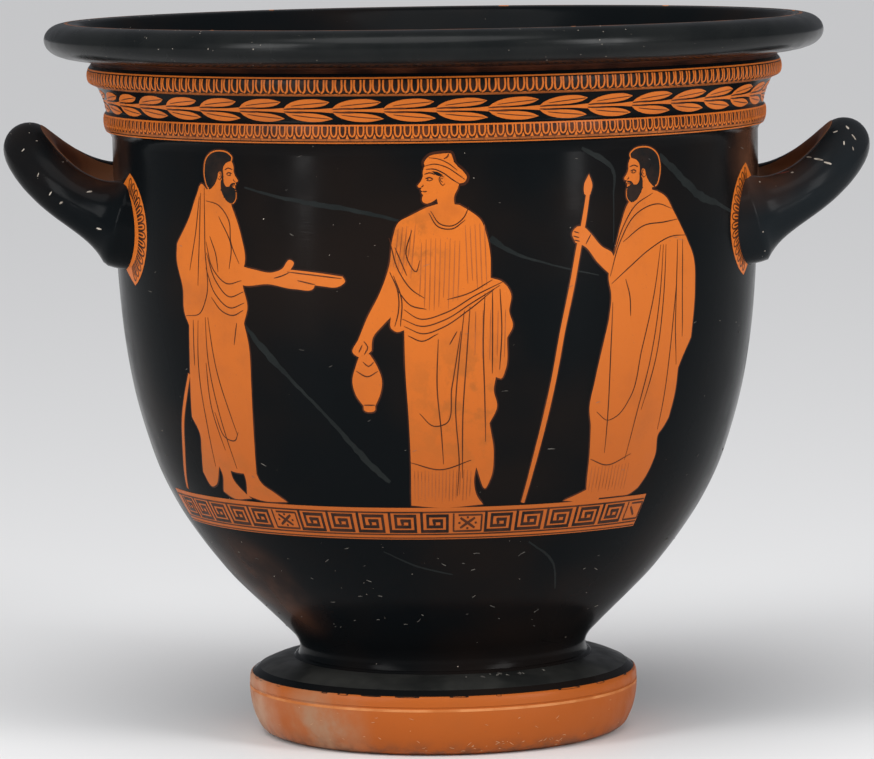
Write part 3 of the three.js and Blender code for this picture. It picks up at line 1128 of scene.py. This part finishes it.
# the painted people: clay shapes as runs of points, then the lines drawn on them
leftMan = {
    "shapes": [
        [
            [(-133, 314), (-137, 317), (-141, 311), (-148, 298), (-159, 284)],
            [(-159, 284), (-160, 276), (-156, 260), (-156, 246), (-153, 240)],
            [(-153, 240), (-155, 226), (-158, 210), (-163, 189)],
            [(-163, 189), (-159, 180), (-162, 170), (-167, 158)],
            [(-167, 158), (-163, 150), (-158, 151), (-148, 163)],
            [(-148, 163), (-136, 160), (-118, 160)],
            [(-118, 160), (-114, 180), (-110, 210), (-109, 232), (-111, 243)],
            [(-111, 243), (-108, 252), (-110, 262), (-111, 268)],
            [(-111, 268), (-108, 277), (-110, 290), (-115, 304), (-120, 314), (-127, 318), (-133, 314)],
        ],
        [
            [(-118, 282), (-112, 275), (-101, 272), (-91, 271), (-85, 273), (-80, 278), (-78, 277),
             (-81, 271)],
            [(-81, 271), (-72, 267), (-66, 265.5), (-66.5, 263.6), (-78, 262.4), (-93, 264.6), (-112, 264),
             (-122, 270)],
        ],
        [
            [(-83, 273), (-66, 271.5), (-50.5, 269.5)],
            [(-50.5, 269.5), (-49, 267), (-52, 264.4), (-62, 264.2), (-74, 266.4), (-83, 269)],
        ],
        [
            [(-150, 166), (-147.5, 158), (-152, 148)],
            [(-152, 148), (-146, 145), (-128, 145.4)],
            [(-128, 145.4), (-134, 150), (-139, 156), (-138, 166)],
        ],
        [
            [(-130, 166), (-128, 156), (-131, 147)],
            [(-131, 147), (-120, 144.8), (-100, 145)],
            [(-100, 145), (-108, 150), (-116, 155), (-119, 166)],
        ],
    ],
    "staff": ([(-158, 213), (-166, 199), (-172, 189), (-183, 168), (-197, 146)], 2.4),
    "lines": [
        [(-135, 315), (-136, 283), (-137, 256), (-143, 247), (-155, 245)],
        [(-139, 310), (-143, 290), (-149, 270)],
        [(-138, 312), (-140, 288), (-143, 262)],
        [(-135, 286), (-131, 272), (-121, 264), (-111, 266)],
        [(-135, 280), (-129, 265), (-120, 257), (-110, 260)],
        [(-136, 272), (-130, 258), (-120, 251), (-110, 254)],
        [(-133, 256), (-126, 249), (-118, 247), (-111, 250)],
        [(-132, 289), (-128, 279), (-127, 270)],
        [(-134, 308), (-125, 306), (-118, 298), (-117, 286), (-112, 275)],
        [(-125, 300), (-117, 284), (-119, 272)],
        [(-116, 243), (-119, 231)],
        [(-139, 245), (-140, 220), (-137, 190), (-133, 162)],
        [(-137, 245), (-134, 215), (-128, 190), (-126, 181)],
        [(-145, 243), (-149, 215), (-150, 185), (-152, 162)],
        [(-149, 243), (-152, 218)],
        [(-141, 193), (-136, 179), (-129, 178), (-125, 183)],
        [(-142, 220), (-143, 196), (-139, 172)],
        [(-81, 271), (-86, 269), (-90, 268)],
        [(-76, 267), (-66, 265)],
        [(-82, 271.5), (-66, 270), (-51, 268.4)],
    ],
}
woman = {
    "shapes": [
        [
            [(-5, 306), (-13, 302), (-20, 298), (-23, 290), (-25, 276), (-30, 262), (-38, 247), (-43, 236)],
            [(-43, 236), (-46.5, 229), (-41, 226), (-36, 230)],
            [(-36, 230), (-35, 237), (-30, 243), (-25, 248)],
            [(-25, 248), (-25, 242), (-22, 240), (-18, 241)],
            [(-18, 241), (-18, 220), (-17, 190), (-17, 168), (-18, 145)],
            [(-18, 145), (0, 143.6), (26, 145)],
            [(26, 145), (22, 150), (20, 160), (21, 166)],
            [(21, 166), (27, 154), (30, 160), (31, 173), (28, 190)],
            [(28, 190), (32, 199), (30, 208), (31, 215)],
            [(31, 215), (34, 214), (36, 218), (37, 236)],
            [(37, 236), (40, 242), (38, 250), (39, 259), (34, 266), (28, 268)],
            [(28, 268), (28, 280), (26, 291), (23, 299), (17, 304), (12, 307)],
            [(12, 307), (3, 308), (-5, 306)],
        ],
        [
            [(-42, 229), (-45, 222), (-47.5, 213), (-46, 206), (-42, 200)],
            [(-42, 200), (-42, 198), (-35.5, 198), (-35.5, 200)],
            [(-35.5, 200), (-32.5, 206), (-31, 214), (-33.5, 222), (-37, 228)],
        ],
    ],
    "lines": [
        [(-3, 304), (2, 297), (8, 296), (14, 300), (17, 306)],
        [(-4, 303), (1, 295.5), (8, 294.4), (15, 299)],
        [(-25, 272), (-21, 262), (-21, 250), (-23, 243)],
        [(-23, 270), (-19, 257), (-20, 243)],
        [(-21, 262), (-14, 254), (-6, 252)],
        [(-18, 252), (-10, 247), (4, 250), (20, 259), (35, 266)],
        [(-19, 247), (-9, 243), (3, 246), (18, 255), (33, 264)],
        [(-18, 243), (-8, 239), (2, 242), (16, 251), (30, 262)],
        [(-16, 238), (-9, 235), (0, 239)],
        [(5, 257), (16, 260), (29, 267)],
        [(-25, 290), (-20, 272), (-13, 262), (-7, 258)],
        [(-22, 285), (-16, 270)],
        [(-13, 294), (-16, 280), (-11, 272), (-9, 278)],
        [(14, 251), (11, 225), (9, 200), (11, 165), (10, 150)],
        [(17, 253), (15, 225), (13, 195), (13, 160)],
        [(25, 260), (24, 235), (25, 205), (26, 180)],
        [(29, 262), (29, 240), (29, 217)],
        [(33, 262), (34, 240), (33, 219)],
        [(0, 236), (-1, 210), (1, 185), (2, 168)],
        [(12, 240), (7, 210), (3, 190), (-3, 189), (-11, 196)],
        [(6, 233), (10, 240)],
        [(-17, 169), (0, 165), (18, 170)],
        [(-41, 224), (-38, 221.5), (-35, 224)],
        [(-45, 219), (-39, 216), (-33, 219)],
        [(-40, 228), (-38, 232), (-40, 235)],
        [(-43, 229), (-41, 233)],
        [(-42, 200.6), (-35.5, 200.6)],
    ],
    "pleats": [
        (-15, 18, 165, 147, 17, -0.5),
        (-20, -11, 297, 268, 5, -3.0),
        (-8, 12, 290, 250, 9, -1.5),
        (15, 25, 297, 262, 5, 1.0),
        (20, 36, 252, 222, 5, -0.5),
    ],
}
rightMan = {
    "shapes": [
        [
            [(127, 310), (133, 307), (140, 298), (150, 284)],
            [(150, 284), (157, 272), (159, 255), (158, 229)],
            [(158, 229), (152, 219), (149, 213)],
            [(149, 213), (149, 200), (147, 186)],
            [(147, 186), (143, 180), (141, 178), (142, 166), (138, 154), (134, 148)],
            [(134, 148), (128, 145), (118, 144.6), (94, 144.6)],
            [(94, 144.6), (92, 155), (91, 168), (89, 186)],
            [(89, 186), (87, 195), (89, 210), (93, 230), (96, 243)],
            [(96, 243), (97, 256), (95, 266), (98, 277), (102, 292)],
            [(102, 292), (107, 304), (115, 312), (127, 310)],
        ],
        [
            [(97, 266), (88, 274), (80, 283), (75, 285)],
            [(75, 285), (73, 290), (76, 293.5), (80, 293), (84, 289.5)],
            [(84, 289.5), (91, 282), (97, 278.5), (99, 272)],
        ],
        [
            [(98, 152), (88, 148), (78, 144.6)],
            [(78, 144.6), (104, 144.2), (106, 156)],
        ],
    ],
    "spearHead": [[(83, 321), (85, 315), (83.6, 310)], [(83.6, 310), (80.8, 310), (80, 315), (83, 321)]],
    "staff": (
        [(82.4, 311), (80, 297), (77, 283), (73, 262), (68, 238), (64, 213), (59, 186), (51, 145)], 2.9,
    ),
    "lines": [
        [(98, 277), (104, 292), (112, 303), (124, 309)],
        [(96, 266), (102, 284), (112, 298), (128, 303), (138, 300)],
        [(104, 284), (118, 292), (132, 293), (143, 294)],
        [(97, 262), (108, 270), (122, 279), (138, 285), (150, 285)],
        [(106, 264), (109, 255), (110, 244)],
        [(98, 252), (98, 225), (99, 200), (101, 170)],
        [(130, 281), (126, 255), (119, 225), (114, 200), (106, 190), (100, 188), (92, 193)],
        [(132, 281), (130, 250), (126, 220), (120, 190), (117, 165)],
        [(134, 281), (133, 250), (130, 220), (123, 192)],
        [(143, 283), (143, 255), (144, 233), (147, 215)],
        [(147, 283), (148, 255), (150, 230)],
        [(143, 262), (141, 230), (140, 200), (139, 180)],
        [(92, 167), (104, 163), (121, 168)],
        [(74, 291), (77, 290)],
        [(73.6, 288.6), (77, 287.6)],
        [(74.4, 286.4), (77.4, 285.6)],
        [(84, 289), (81, 284)],
    ],
    "pleats": [(94, 121, 163, 148, 12, 0.5)],
}


# widths of the brush: folds, fine pleats, and the brown stripe round a figure and round a stick
brush = {"fold": 0.62, "pleat": 0.5, "stripe": 0.9, "stickStripe": 1.6}


def drawFigure(design, shift=0, flip=1, withStaff=True):
    def put(points):
        return [(shift + flip * x, y) for x, y in points]

    spearHead = [design["spearHead"]] if withStaff and "spearHead" in design else []
    for runs in design["shapes"] + spearHead:
        line = shapeLine([put(run) for run in runs])
        haloShapes.add(slab(grown(line, brush["stripe"]), layers["contour"]))
        clayShapes.add(slab(line, layers["clay"]))
    if withStaff and "staff" in design:
        points, width = design["staff"]
        haloShapes.add(stroke(put(points), width + brush["stickStripe"], layers["contour"], 0.8))
        clayShapes.add(stroke(put(points), width, layers["staff"], 0.75))
    for points in design["lines"]:
        fineLines.add(stroke(put(points), brush["fold"], layers["line"], 0.45))
    chance = random.Random(int(shift) + 7)
    for left, right, start, stop, count, lean in design.get("pleats", []):
        for i in range(count):
            x = left + (right - left) * i / (count - 1)
            drop = chance.uniform(0.0, 0.25) * (start - stop)
            points = [(x, start - 0.3 * drop), (x + 0.5 * lean, (start + stop) / 2), (x + lean, stop + drop)]
            washLines.add(stroke(put(points), brush["pleat"], layers["wash"], 0.4))


drawFigure(leftMan)
drawHead((-123.8, 310.6), 23.4, 1)
drawFigure(woman)
drawHead((3.8, 308), 24.6, -1, headCloth, False)
drawFigure(rightMan)
drawHead((118, 308.5), 24.4, -1)
print("front figures drawn")

# the back: three plain mantle figures on a plain ground line
backMiddle = math.pi * wrapRadius
for place, flip in ((-118, 1), (10, -1), (118, -1)):
    drawFigure(rightMan, backMiddle + place - flip * 120, flip, False)
    drawHead((backMiddle + place - flip * 2, 308.5), 24.4, -flip, shortHair, False)
backSide = {
    "stick": [(0, 300), (3, 240), (5, 190), (8, 146)],
    "stickWidth": 2.6,
    "stickPlaces": (-62, 66),
    "groundLines": ((142.2, 2.6), (138.6, 0.9)),
    "groundHalf": 178,
    "groundPart": 14.8,
}
for place in backSide["stickPlaces"]:
    points = [(backMiddle + place + x, y) for x, y in backSide["stick"]]
    clayShapes.add(stroke(points, backSide["stickWidth"], layers["staff"], 0.75))
for i in range(24):
    left = backMiddle - backSide["groundHalf"] + i * backSide["groundPart"]
    for up, thick in backSide["groundLines"]:
        ends = [(left, up), (left + backSide["groundPart"] + 0.1, up)]
        clayShapes.add(stroke(ends, thick, layers["staff"], 1.0, 4))
print("back figures drawn")

# tongues round the front and back root of each handle
rootTongues = {
    "right": {
        "side": 1, "centre": 238.6, "inner": 23.2, "outer": (228.2, 32.1), "height": 289.0, "opening": 74,
    },
    "left": {
        "side": -1, "centre": 235.8, "inner": 24.4, "outer": (223.4, 33.0), "height": 288.6, "opening": 69,
    },
    "count": 14,
    "loop": [(11, 1.5), (5.4, 1.85), (2.8, 1.3), (1.9, 0), (2.8, -1.3), (5.4, -1.85), (11, -1.5)],
}
for root in (rootTongues["right"], rootTongues["left"]):
    side = root["side"]
    for face in (1, -1):
        # the back roots mirror the front ones about the handle's own line
        def put(points):
            out = []
            for x, y in points:
                x = x if face == 1 else math.pi * wrapRadius - x
                out.append((side * x, y))
            return out

        middleOut, reach = root["outer"]
        up = root["height"]
        spread = root["opening"]
        outer = []
        inner = []
        for i in range(17):
            turn = math.radians(180 - spread + 2 * spread * i / 16)
            outer.append((middleOut + reach * math.cos(turn), up + reach * math.sin(turn)))
            across = root["centre"] + root["inner"] * math.cos(turn)
            inner.append((across, up + root["inner"] * math.sin(turn)))
        clayShapes.add(slab(straightShape(put(outer + inner[::-1])), layers["clay"], grid=4))
        for i in range(rootTongues["count"]):
            turn = math.radians(180 - spread + 5 + (2 * spread - 10) * i / (rootTongues["count"] - 1))
            along = Vector((math.cos(turn), math.sin(turn)))
            across = Vector((-along.y, along.x))
            centre = Vector((middleOut, up))
            loop = []
            for short, wide in rootTongues["loop"]:
                loop.append(centre + along * (reach - short) + across * wide)
            fineLines.add(stroke(put([tuple(p) for p in loop]), 0.9, layers["line"], 1.0, 1.5))
            core = [centre + along * (reach - short) for short in (11, 8, 5)]
            fineLines.add(stroke(put([tuple(p) for p in core]), 1.1, layers["line"], 0.8, 2))
print("handle tongues drawn")

# the wall between the two roots of a handle was left in clay, coloured dark as painted shade
wallPatch = FlatDrawing("clayBetweenRoots", shadedHandleClay)
patchHeight = 291
patchShape = [
    (-21, 4), (-17, 22), (-6, 28), (8, 27), (18, 21),
    (21, 3), (17, -20), (4, -26), (-9, -25), (-18, -17),
]
for side in (1, -1):
    patch = [(side * (math.pi / 2 * wrapRadius + x), patchHeight + y) for x, y in patchShape]
    wallPatch.add(slab(shapeLine([patch + patch[:1]], 3), 0.1))
pieces.append(wallPatch.lay())
pieces += [haloShapes.lay(), clayShapes.lay(), blackShapes.lay(), fineLines.lay(), washLines.lay()]


# old breaks, filled and toned: lines of (round, up, width)
mends = [
    [(-107, 316, 1.2), (-90, 312, 2.4), (-73, 309, 3.4), (-46, 305, 3.8), (-19, 299, 2.0)],
    [(28, 289, 5.0), (40, 281, 3.0), (54, 276, 1.8), (72, 271, 1.2), (89, 267, 0.9)],
    [(-111, 243, 1.6), (-103, 233, 5.5), (-97, 227, 6.5), (-90, 220, 4.5), (-78, 208, 2.8), (-63, 193, 3.2),
     (-50, 178, 4.5), (-39, 166, 5.5), (-30, 158, 3.0)],
    [(79, 335, 2.0), (90, 329, 4.5), (97, 324, 3.5), (98, 308, 1.2), (98, 284, 0.9)],
    [(129, 329, 4.0), (142, 319, 6.5), (161, 306, 7.0), (180, 300, 4.0), (201, 293, 2.0)],
    [(-40, 118, 1.0), (-20, 110, 1.6), (8, 104, 1.0)],
    [(60, 122, 1.4), (84, 108, 2.0), (96, 92, 1.2)],
]
mendHalf = 0.36  # how much of the width lies on each side of the line
mendShapes = FlatDrawing("mendedBreaks", crackFill)
for mend in mends:
    chance = random.Random(len(mend))
    line = smoothLine([Vector(p) for p in mend], 3)
    left = []
    right = []
    for i, p in enumerate(line):
        along = (line[min(i + 1, len(line) - 1)] - line[max(i - 1, 0)]).to_2d().normalized()
        across = Vector((-along.y, along.x)) * mendHalf * p.z
        left.append(p.to_2d() + across * chance.uniform(0.7, 1.15))
        right.append(p.to_2d() - across * chance.uniform(0.7, 1.15))
    mendShapes.add(slab(left + right[::-1], layers["mend"], grid=4))
pieces.append(mendShapes.lay())

# wear: fine scratches in the gloss, pale nicks on the foot.
# Each place: how many, from and to round the wall, from and to up, longest, width.
scratchPlaces = [
    (22, -120, 150, 62, 124, 5, 0.3),
    (14, -260, 260, 60, 120, 6, 0.3),
    (18, -170, 170, 150, 332, 4, 0.3),
    (10, 20, 130, 41.5, 42.3, 5, 0.5),
    (40, -560, 560, 45, 335, 5, 0.3),
]
nickPlaces = [
    (22, -150, 190, 5, 25, 4, 0.3),
    (26, -40, 120, 2.6, 8, 5, 0.35),
    (20, -560, 560, 4, 26, 4, 0.35),
]
chance = random.Random(31)


def scratched(name, places, material):
    drawing = FlatDrawing(name, material)
    for count, left, right, low, high, longest, width in places:
        for i in range(count):
            start = Vector((chance.uniform(left, right), chance.uniform(low, high)))
            reach = longest * chance.uniform(0.25, 1)
            turn = chance.uniform(-0.5, 0.5) * min(1, (high - low) / 4)
            away = Vector((math.cos(turn), math.sin(turn))) * reach
            middle = start + away / 2 + Vector((-away.y, away.x)) * chance.uniform(-0.06, 0.06)
            thick = width * chance.uniform(0.5, 1)
            drawing.add(stroke([start, middle, start + away], thick, layers["scratch"], 0.3, 2))
    return drawing.lay()


pieces.append(scratched("scratches", scratchPlaces, scratchGrey))
pieces.append(scratched("footNicks", nickPlaces, paleNick))

# chips in the crest of the lip: angle from the front, length and width
rimChips = [(168, 8, 3.2), (138, 6, 2.4), (-152, 4, 1.8), (96, 4, 1.6), (-35, 3, 1.4), (21, 3, 1.2)]
chipRadius = 203.6
chipHeights = ((400.2, 0.8), (399.2, 1.0))  # height, and how much of the chip's size is left there
chipVertices = []
chipFaces = []
for angle, long, wide in rimChips:
    turn = math.radians(angle)
    out = Vector((math.sin(turn), -math.cos(turn), 0))
    along = Vector((out.y, -out.x, 0))
    first = len(chipVertices)
    for up, share in chipHeights:
        for i in range(9):
            bow = 2 * math.pi * i / 9
            reach = share * chance.uniform(0.8, 1.1) / 2
            flat = out * (chipRadius + wide * reach * math.cos(bow)) + along * long * reach * math.sin(bow)
            chipVertices.append((flat.x * mm, flat.y * mm, up * mm))
    chipFaces += [[first + i for i in range(9)], [first + 17 - i for i in range(9)]]
    for i in range(9):
        k = (i + 1) % 9
        chipFaces.append([first + i, first + k, first + 9 + k, first + 9 + i])
chips = meshObject("rimChips", chipVertices, chipFaces)
chips.data.materials.append(paleClay)
tidyMesh(chips)
pieces.append(chips)

# the black of the foot's top runs a little over its edge, in strokes with gaps between them
footEdge = {"height": 33.8, "stroke": (4, 26), "gap": (4, 60), "width": (0.5, 1.2), "seed": 12}
footEdgeBlack = FlatDrawing("footEdgeBlack", blackPaint)
chance = random.Random(footEdge["seed"])
x = -math.pi * wrapRadius
while x < math.pi * wrapRadius:
    reach = chance.uniform(*footEdge["stroke"])
    ends = [(x, footEdge["height"]), (x + reach, footEdge["height"] - 0.1)]
    footEdgeBlack.add(stroke(ends, chance.uniform(*footEdge["width"]), layers["line"], 0.6, 4))
    x += reach + chance.uniform(*footEdge["gap"])
pieces.append(footEdgeBlack.lay())


# scatters small flakes over a surface
def makeScatterTree():
    tree, start, end = newTree(
        "Scatter flakes",
        [
            ("Surface", "NodeSocketObject"),
            ("Flake", "NodeSocketObject"),
            ("Per square metre", "NodeSocketFloat"),
            ("Smallest", "NodeSocketFloat"),
            ("Largest", "NodeSocketFloat"),
            ("Seed", "NodeSocketInt"),
            ("Material", "NodeSocketMaterial"),
        ],
    )
    link = tree.links.new
    ground = addNode(tree, "GeometryNodeObjectInfo")
    link(start.outputs["Surface"], ground.inputs["Object"])
    spread = addNode(tree, "GeometryNodeDistributePointsOnFaces")
    link(ground.outputs["Geometry"], spread.inputs["Mesh"])
    link(start.outputs["Per square metre"], spread.inputs["Density"])
    link(start.outputs["Seed"], spread.inputs["Seed"])
    patch = addNode(tree, "ShaderNodeTexNoise")
    patch.inputs["Scale"].default_value = 14
    place = addNode(tree, "GeometryNodeInputPosition")
    link(place.outputs[0], patch.inputs["Vector"])
    thin = addNode(tree, "GeometryNodeDeleteGeometry", domain="POINT")
    link(spread.outputs["Points"], thin.inputs["Geometry"])
    parts = addNode(tree, "ShaderNodeSeparateXYZ")
    link(place.outputs[0], parts.inputs[0])
    sparse = mathNode(tree, "LESS_THAN", patch.outputs["Fac"], 0.47)
    lowest = mathNode(tree, "LESS_THAN", parts.outputs["Z"], 0.001)
    link(mathNode(tree, "MAXIMUM", sparse, lowest), thin.inputs["Selection"])
    source = addNode(tree, "GeometryNodeObjectInfo")
    link(start.outputs["Flake"], source.inputs["Object"])
    copies = addNode(tree, "GeometryNodeInstanceOnPoints")
    link(thin.outputs[0], copies.inputs["Points"])
    link(source.outputs["Geometry"], copies.inputs["Instance"])
    link(spread.outputs["Rotation"], copies.inputs["Rotation"])
    size = addNode(tree, "FunctionNodeRandomValue", data_type="FLOAT")
    link(start.outputs["Smallest"], size.inputs[2])
    link(start.outputs["Largest"], size.inputs[3])
    link(start.outputs["Seed"], size.inputs["Seed"])
    shape = addNode(tree, "FunctionNodeRandomValue", data_type="FLOAT_VECTOR")
    shape.inputs["Min"].default_value = (0.5, 0.5, 1)
    shape.inputs["Max"].default_value = (1.4, 1.4, 1)
    scale = addNode(tree, "ShaderNodeVectorMath", operation="SCALE")
    link(shape.outputs[0], scale.inputs[0])
    link(size.outputs[1], scale.inputs["Scale"])
    link(scale.outputs[0], copies.inputs["Scale"])
    finishTree(tree, start, end, copies.outputs[0])
    return tree


def flakeObject():
    corners = [(0.9, 0.1), (0.5, 0.8), (-0.3, 0.6), (-1, 0.2), (-0.6, -0.7), (0.2, -0.9)]
    rim = [(x * mm, y * mm, -0.1 * mm) for x, y in corners]
    crown = [(0.7 * x * mm, 0.7 * y * mm, 0.2 * mm) for x, y in corners]
    count = len(corners)
    faces = [list(range(count))[::-1], [i + count for i in range(count)]]
    for i in range(count):
        k = (i + 1) % count
        faces.append([i, k, k + count, i + count])
    return meshObject("flake", rim + crown, faces)


wear = {
    "bowl": {"perSquareMetre": 900, "smallest": 0.12, "largest": 0.42, "seed": 4},
    "lip": {"perSquareMetre": 6500, "smallest": 0.1, "largest": 0.42, "seed": 6},
    "handles": {"perSquareMetre": 5000, "smallest": 0.15, "largest": 0.75, "seed": 9},
}
scatterTree = makeScatterTree()
flake = flakeObject()
lipRing = bands[-1]  # the ring of painted sheen on the lip
worn = (("bowl", bowl), ("handles", handleRods["right"]), ("handles", handleRods["left"]), ("lip", lipRing))
for label, surface in worn:
    look = wear[label]
    specks = meshObject(surface.name + "Specks", [(0, 0, 0)], [])
    useTree(
        specks,
        scatterTree,
        {
            "Surface": surface,
            "Flake": flake,
            "Per square metre": look["perSquareMetre"],
            "Smallest": look["smallest"],
            "Largest": look["largest"],
            "Seed": look["seed"],
            "Material": paleSpeck,
        },
    )
    freeze(specks)
    tidyMesh(specks)
    pieces.append(specks)
bpy.data.objects.remove(flake)
print("specks scattered")

# scuffs and a red scratch on the handles: x, z, length, width, slant in degrees
scuffs = {
    "pale": [
        (219, 339, 5.5, 1.3, 20), (225, 341, 4, 1.2, 60), (229, 336, 4.5, 1.5, 80), (232, 331, 4, 1.4, 95),
        (222, 334, 3, 1.2, 40), (226, 328, 3.5, 1.0, 70), (215, 336, 3, 0.9, 10), (231, 325, 2.5, 1.0, 80),
        (206, 321, 4.5, 1.2, -8), (211, 320, 5.5, 1.5, -12), (216, 318, 5, 1.3, -20),
        (196, 331, 2.5, 0.9, 30),
        (201, 333, 2.5, 0.9, 10), (-206, 303, 3, 1.0, 30), (-212, 308, 3, 0.9, 50), (-190, 309, 3.5, 1.0, 10),
        (-228, 331, 2.5, 0.9, 60), (-185, 289, 4, 1.2, -10), (-219, 318, 2.5, 0.8, 80),
    ],
    "red": [(191, 313, 8, 0.9, 28), (196, 317, 5, 0.7, 35)],
}


def scuffPiece(name, marks, material):
    chance = random.Random(17)
    vertices = []
    faces = []
    for x, z, long, wide, slant in marks:
        surface = handleRods["right" if x > 0 else "left"]
        hit, place, normal, _ = surface.ray_cast(Vector((x * mm, -0.5, z * mm)), Vector((0, 1, 0)))
        if not hit:
            continue
        across = Vector((0, 0, 1)).cross(normal).normalized()
        upward = normal.cross(across)
        turn = math.radians(slant)
        first = len(vertices)
        for lift in (0.12, -0.3):
            for i in range(8):
                bow = math.pi * i / 4
                reach = chance.uniform(0.75, 1.1) * 0.5
                a, b = long * reach * math.cos(bow), wide * reach * math.sin(bow)
                spot = across * (a * math.cos(turn) - b * math.sin(turn))
                spot += upward * (a * math.sin(turn) + b * math.cos(turn))
                vertices.append(place + (spot + normal * lift) * mm)
        faces += [[first + i for i in range(8)], [first + 15 - i for i in range(8)]]
        for i in range(8):
            k = (i + 1) % 8
            faces.append([first + i, first + 8 + i, first + 8 + k, first + k])
    piece = meshObject(name, vertices, faces)
    piece.data.materials.append(material)
    tidyMesh(piece)
    return piece


pieces.append(scuffPiece("paleScuffs", scuffs["pale"], paleSpeck))
pieces.append(scuffPiece("redScratch", scuffs["red"], redScratch))
print("scuffs laid")

# every piece stands still on the one body; the bowl takes the place of the plain solid
for piece in pieces:
    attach(piece, "root")
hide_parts("krater")

# a pale floor, a soft sky, two tall lamps at the sides and two small ones low down
stage = {
    "floorColour": (0.72, 0.72, 0.72),
    "worldColour": (0.9, 0.92, 1),
    "worldStrength": 0.18,
    "overhead": {"strength": 2.55, "softness": 50, "turn": (22, -6, 0)},
    "lamps": {
        "leftLight": {"place": (-2.0, -1.7, 1.3), "size": (0.8, 1.4), "watts": 43},
        "rightLight": {"place": (2.0, -1.7, 1.3), "size": (0.8, 1.4), "watts": 50},
        "lowLeft": {"place": (-1.5, -1.5, 0.2), "size": (0.2, 0.2), "watts": 2.5},
        "lowRight": {"place": (1.55, -1.4, 0.2), "size": (0.2, 0.2), "watts": 2.5},
    },
}
floor = meshObject("floor", [(-30, -30, 0), (30, -30, 0), (30, 60, 0), (-30, 60, 0)], [(0, 1, 2, 3)])
pale, _, paleSkin = newMaterial("pale floor")
paleSkin.inputs["Base Color"].default_value = (*stage["floorColour"], 1)
floor.data.materials.append(pale)
floor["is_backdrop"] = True

scene = bpy.context.scene
scene.view_settings.view_transform = "Standard"
world = scene.world or bpy.data.worlds.new("studio")
scene.world = world
world.use_nodes = True
world.node_tree.nodes["Background"].inputs["Color"].default_value = (*stage["worldColour"], 1)
world.node_tree.nodes["Background"].inputs["Strength"].default_value = stage["worldStrength"]
for name, lamp in stage["lamps"].items():
    data = bpy.data.lights.new(name, "AREA")
    data.shape = "RECTANGLE"
    data.size, data.size_y = lamp["size"]
    data.energy = lamp["watts"]
    light = bpy.data.objects.new(name, data)
    bpy.context.collection.objects.link(light)
    light.location = lamp["place"]
    light.rotation_euler = (Vector((0, 0, 0.2)) - Vector(lamp["place"])).to_track_quat("-Z", "Y").to_euler()
sky = bpy.data.lights.new("overhead", "SUN")
sky.energy = stage["overhead"]["strength"]
sky.angle = math.radians(stage["overhead"]["softness"])
overhead = bpy.data.objects.new("overhead", sky)
bpy.context.collection.objects.link(overhead)
overhead.rotation_euler = [math.radians(a) for a in stage["overhead"]["turn"]]

print("lights placed")

# lens in millimetres, place in metres, then how far it looks down and how far it is rolled
cameraPlace = {"lens": 217.07, "location": (-0.001, -2.945, 0.493), "down": 5.742, "roll": -0.867}
view = bpy.data.cameras.new("camera")
view.lens = cameraPlace["lens"]
camera = bpy.data.objects.new("camera", view)
bpy.context.collection.objects.link(camera)
scene.camera = camera
camera.location = cameraPlace["location"]
tilt = Matrix.Rotation(math.radians(90 - cameraPlace["down"]), 4, "X")
camera.rotation_euler = (tilt @ Matrix.Rotation(math.radians(cameraPlace["roll"]), 4, "Z")).to_euler()

sizes = {"cad": cadBox, "visual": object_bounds()}
sizes = {key: [[float(v) for v in corner] for corner in box] for key, box in sizes.items()}
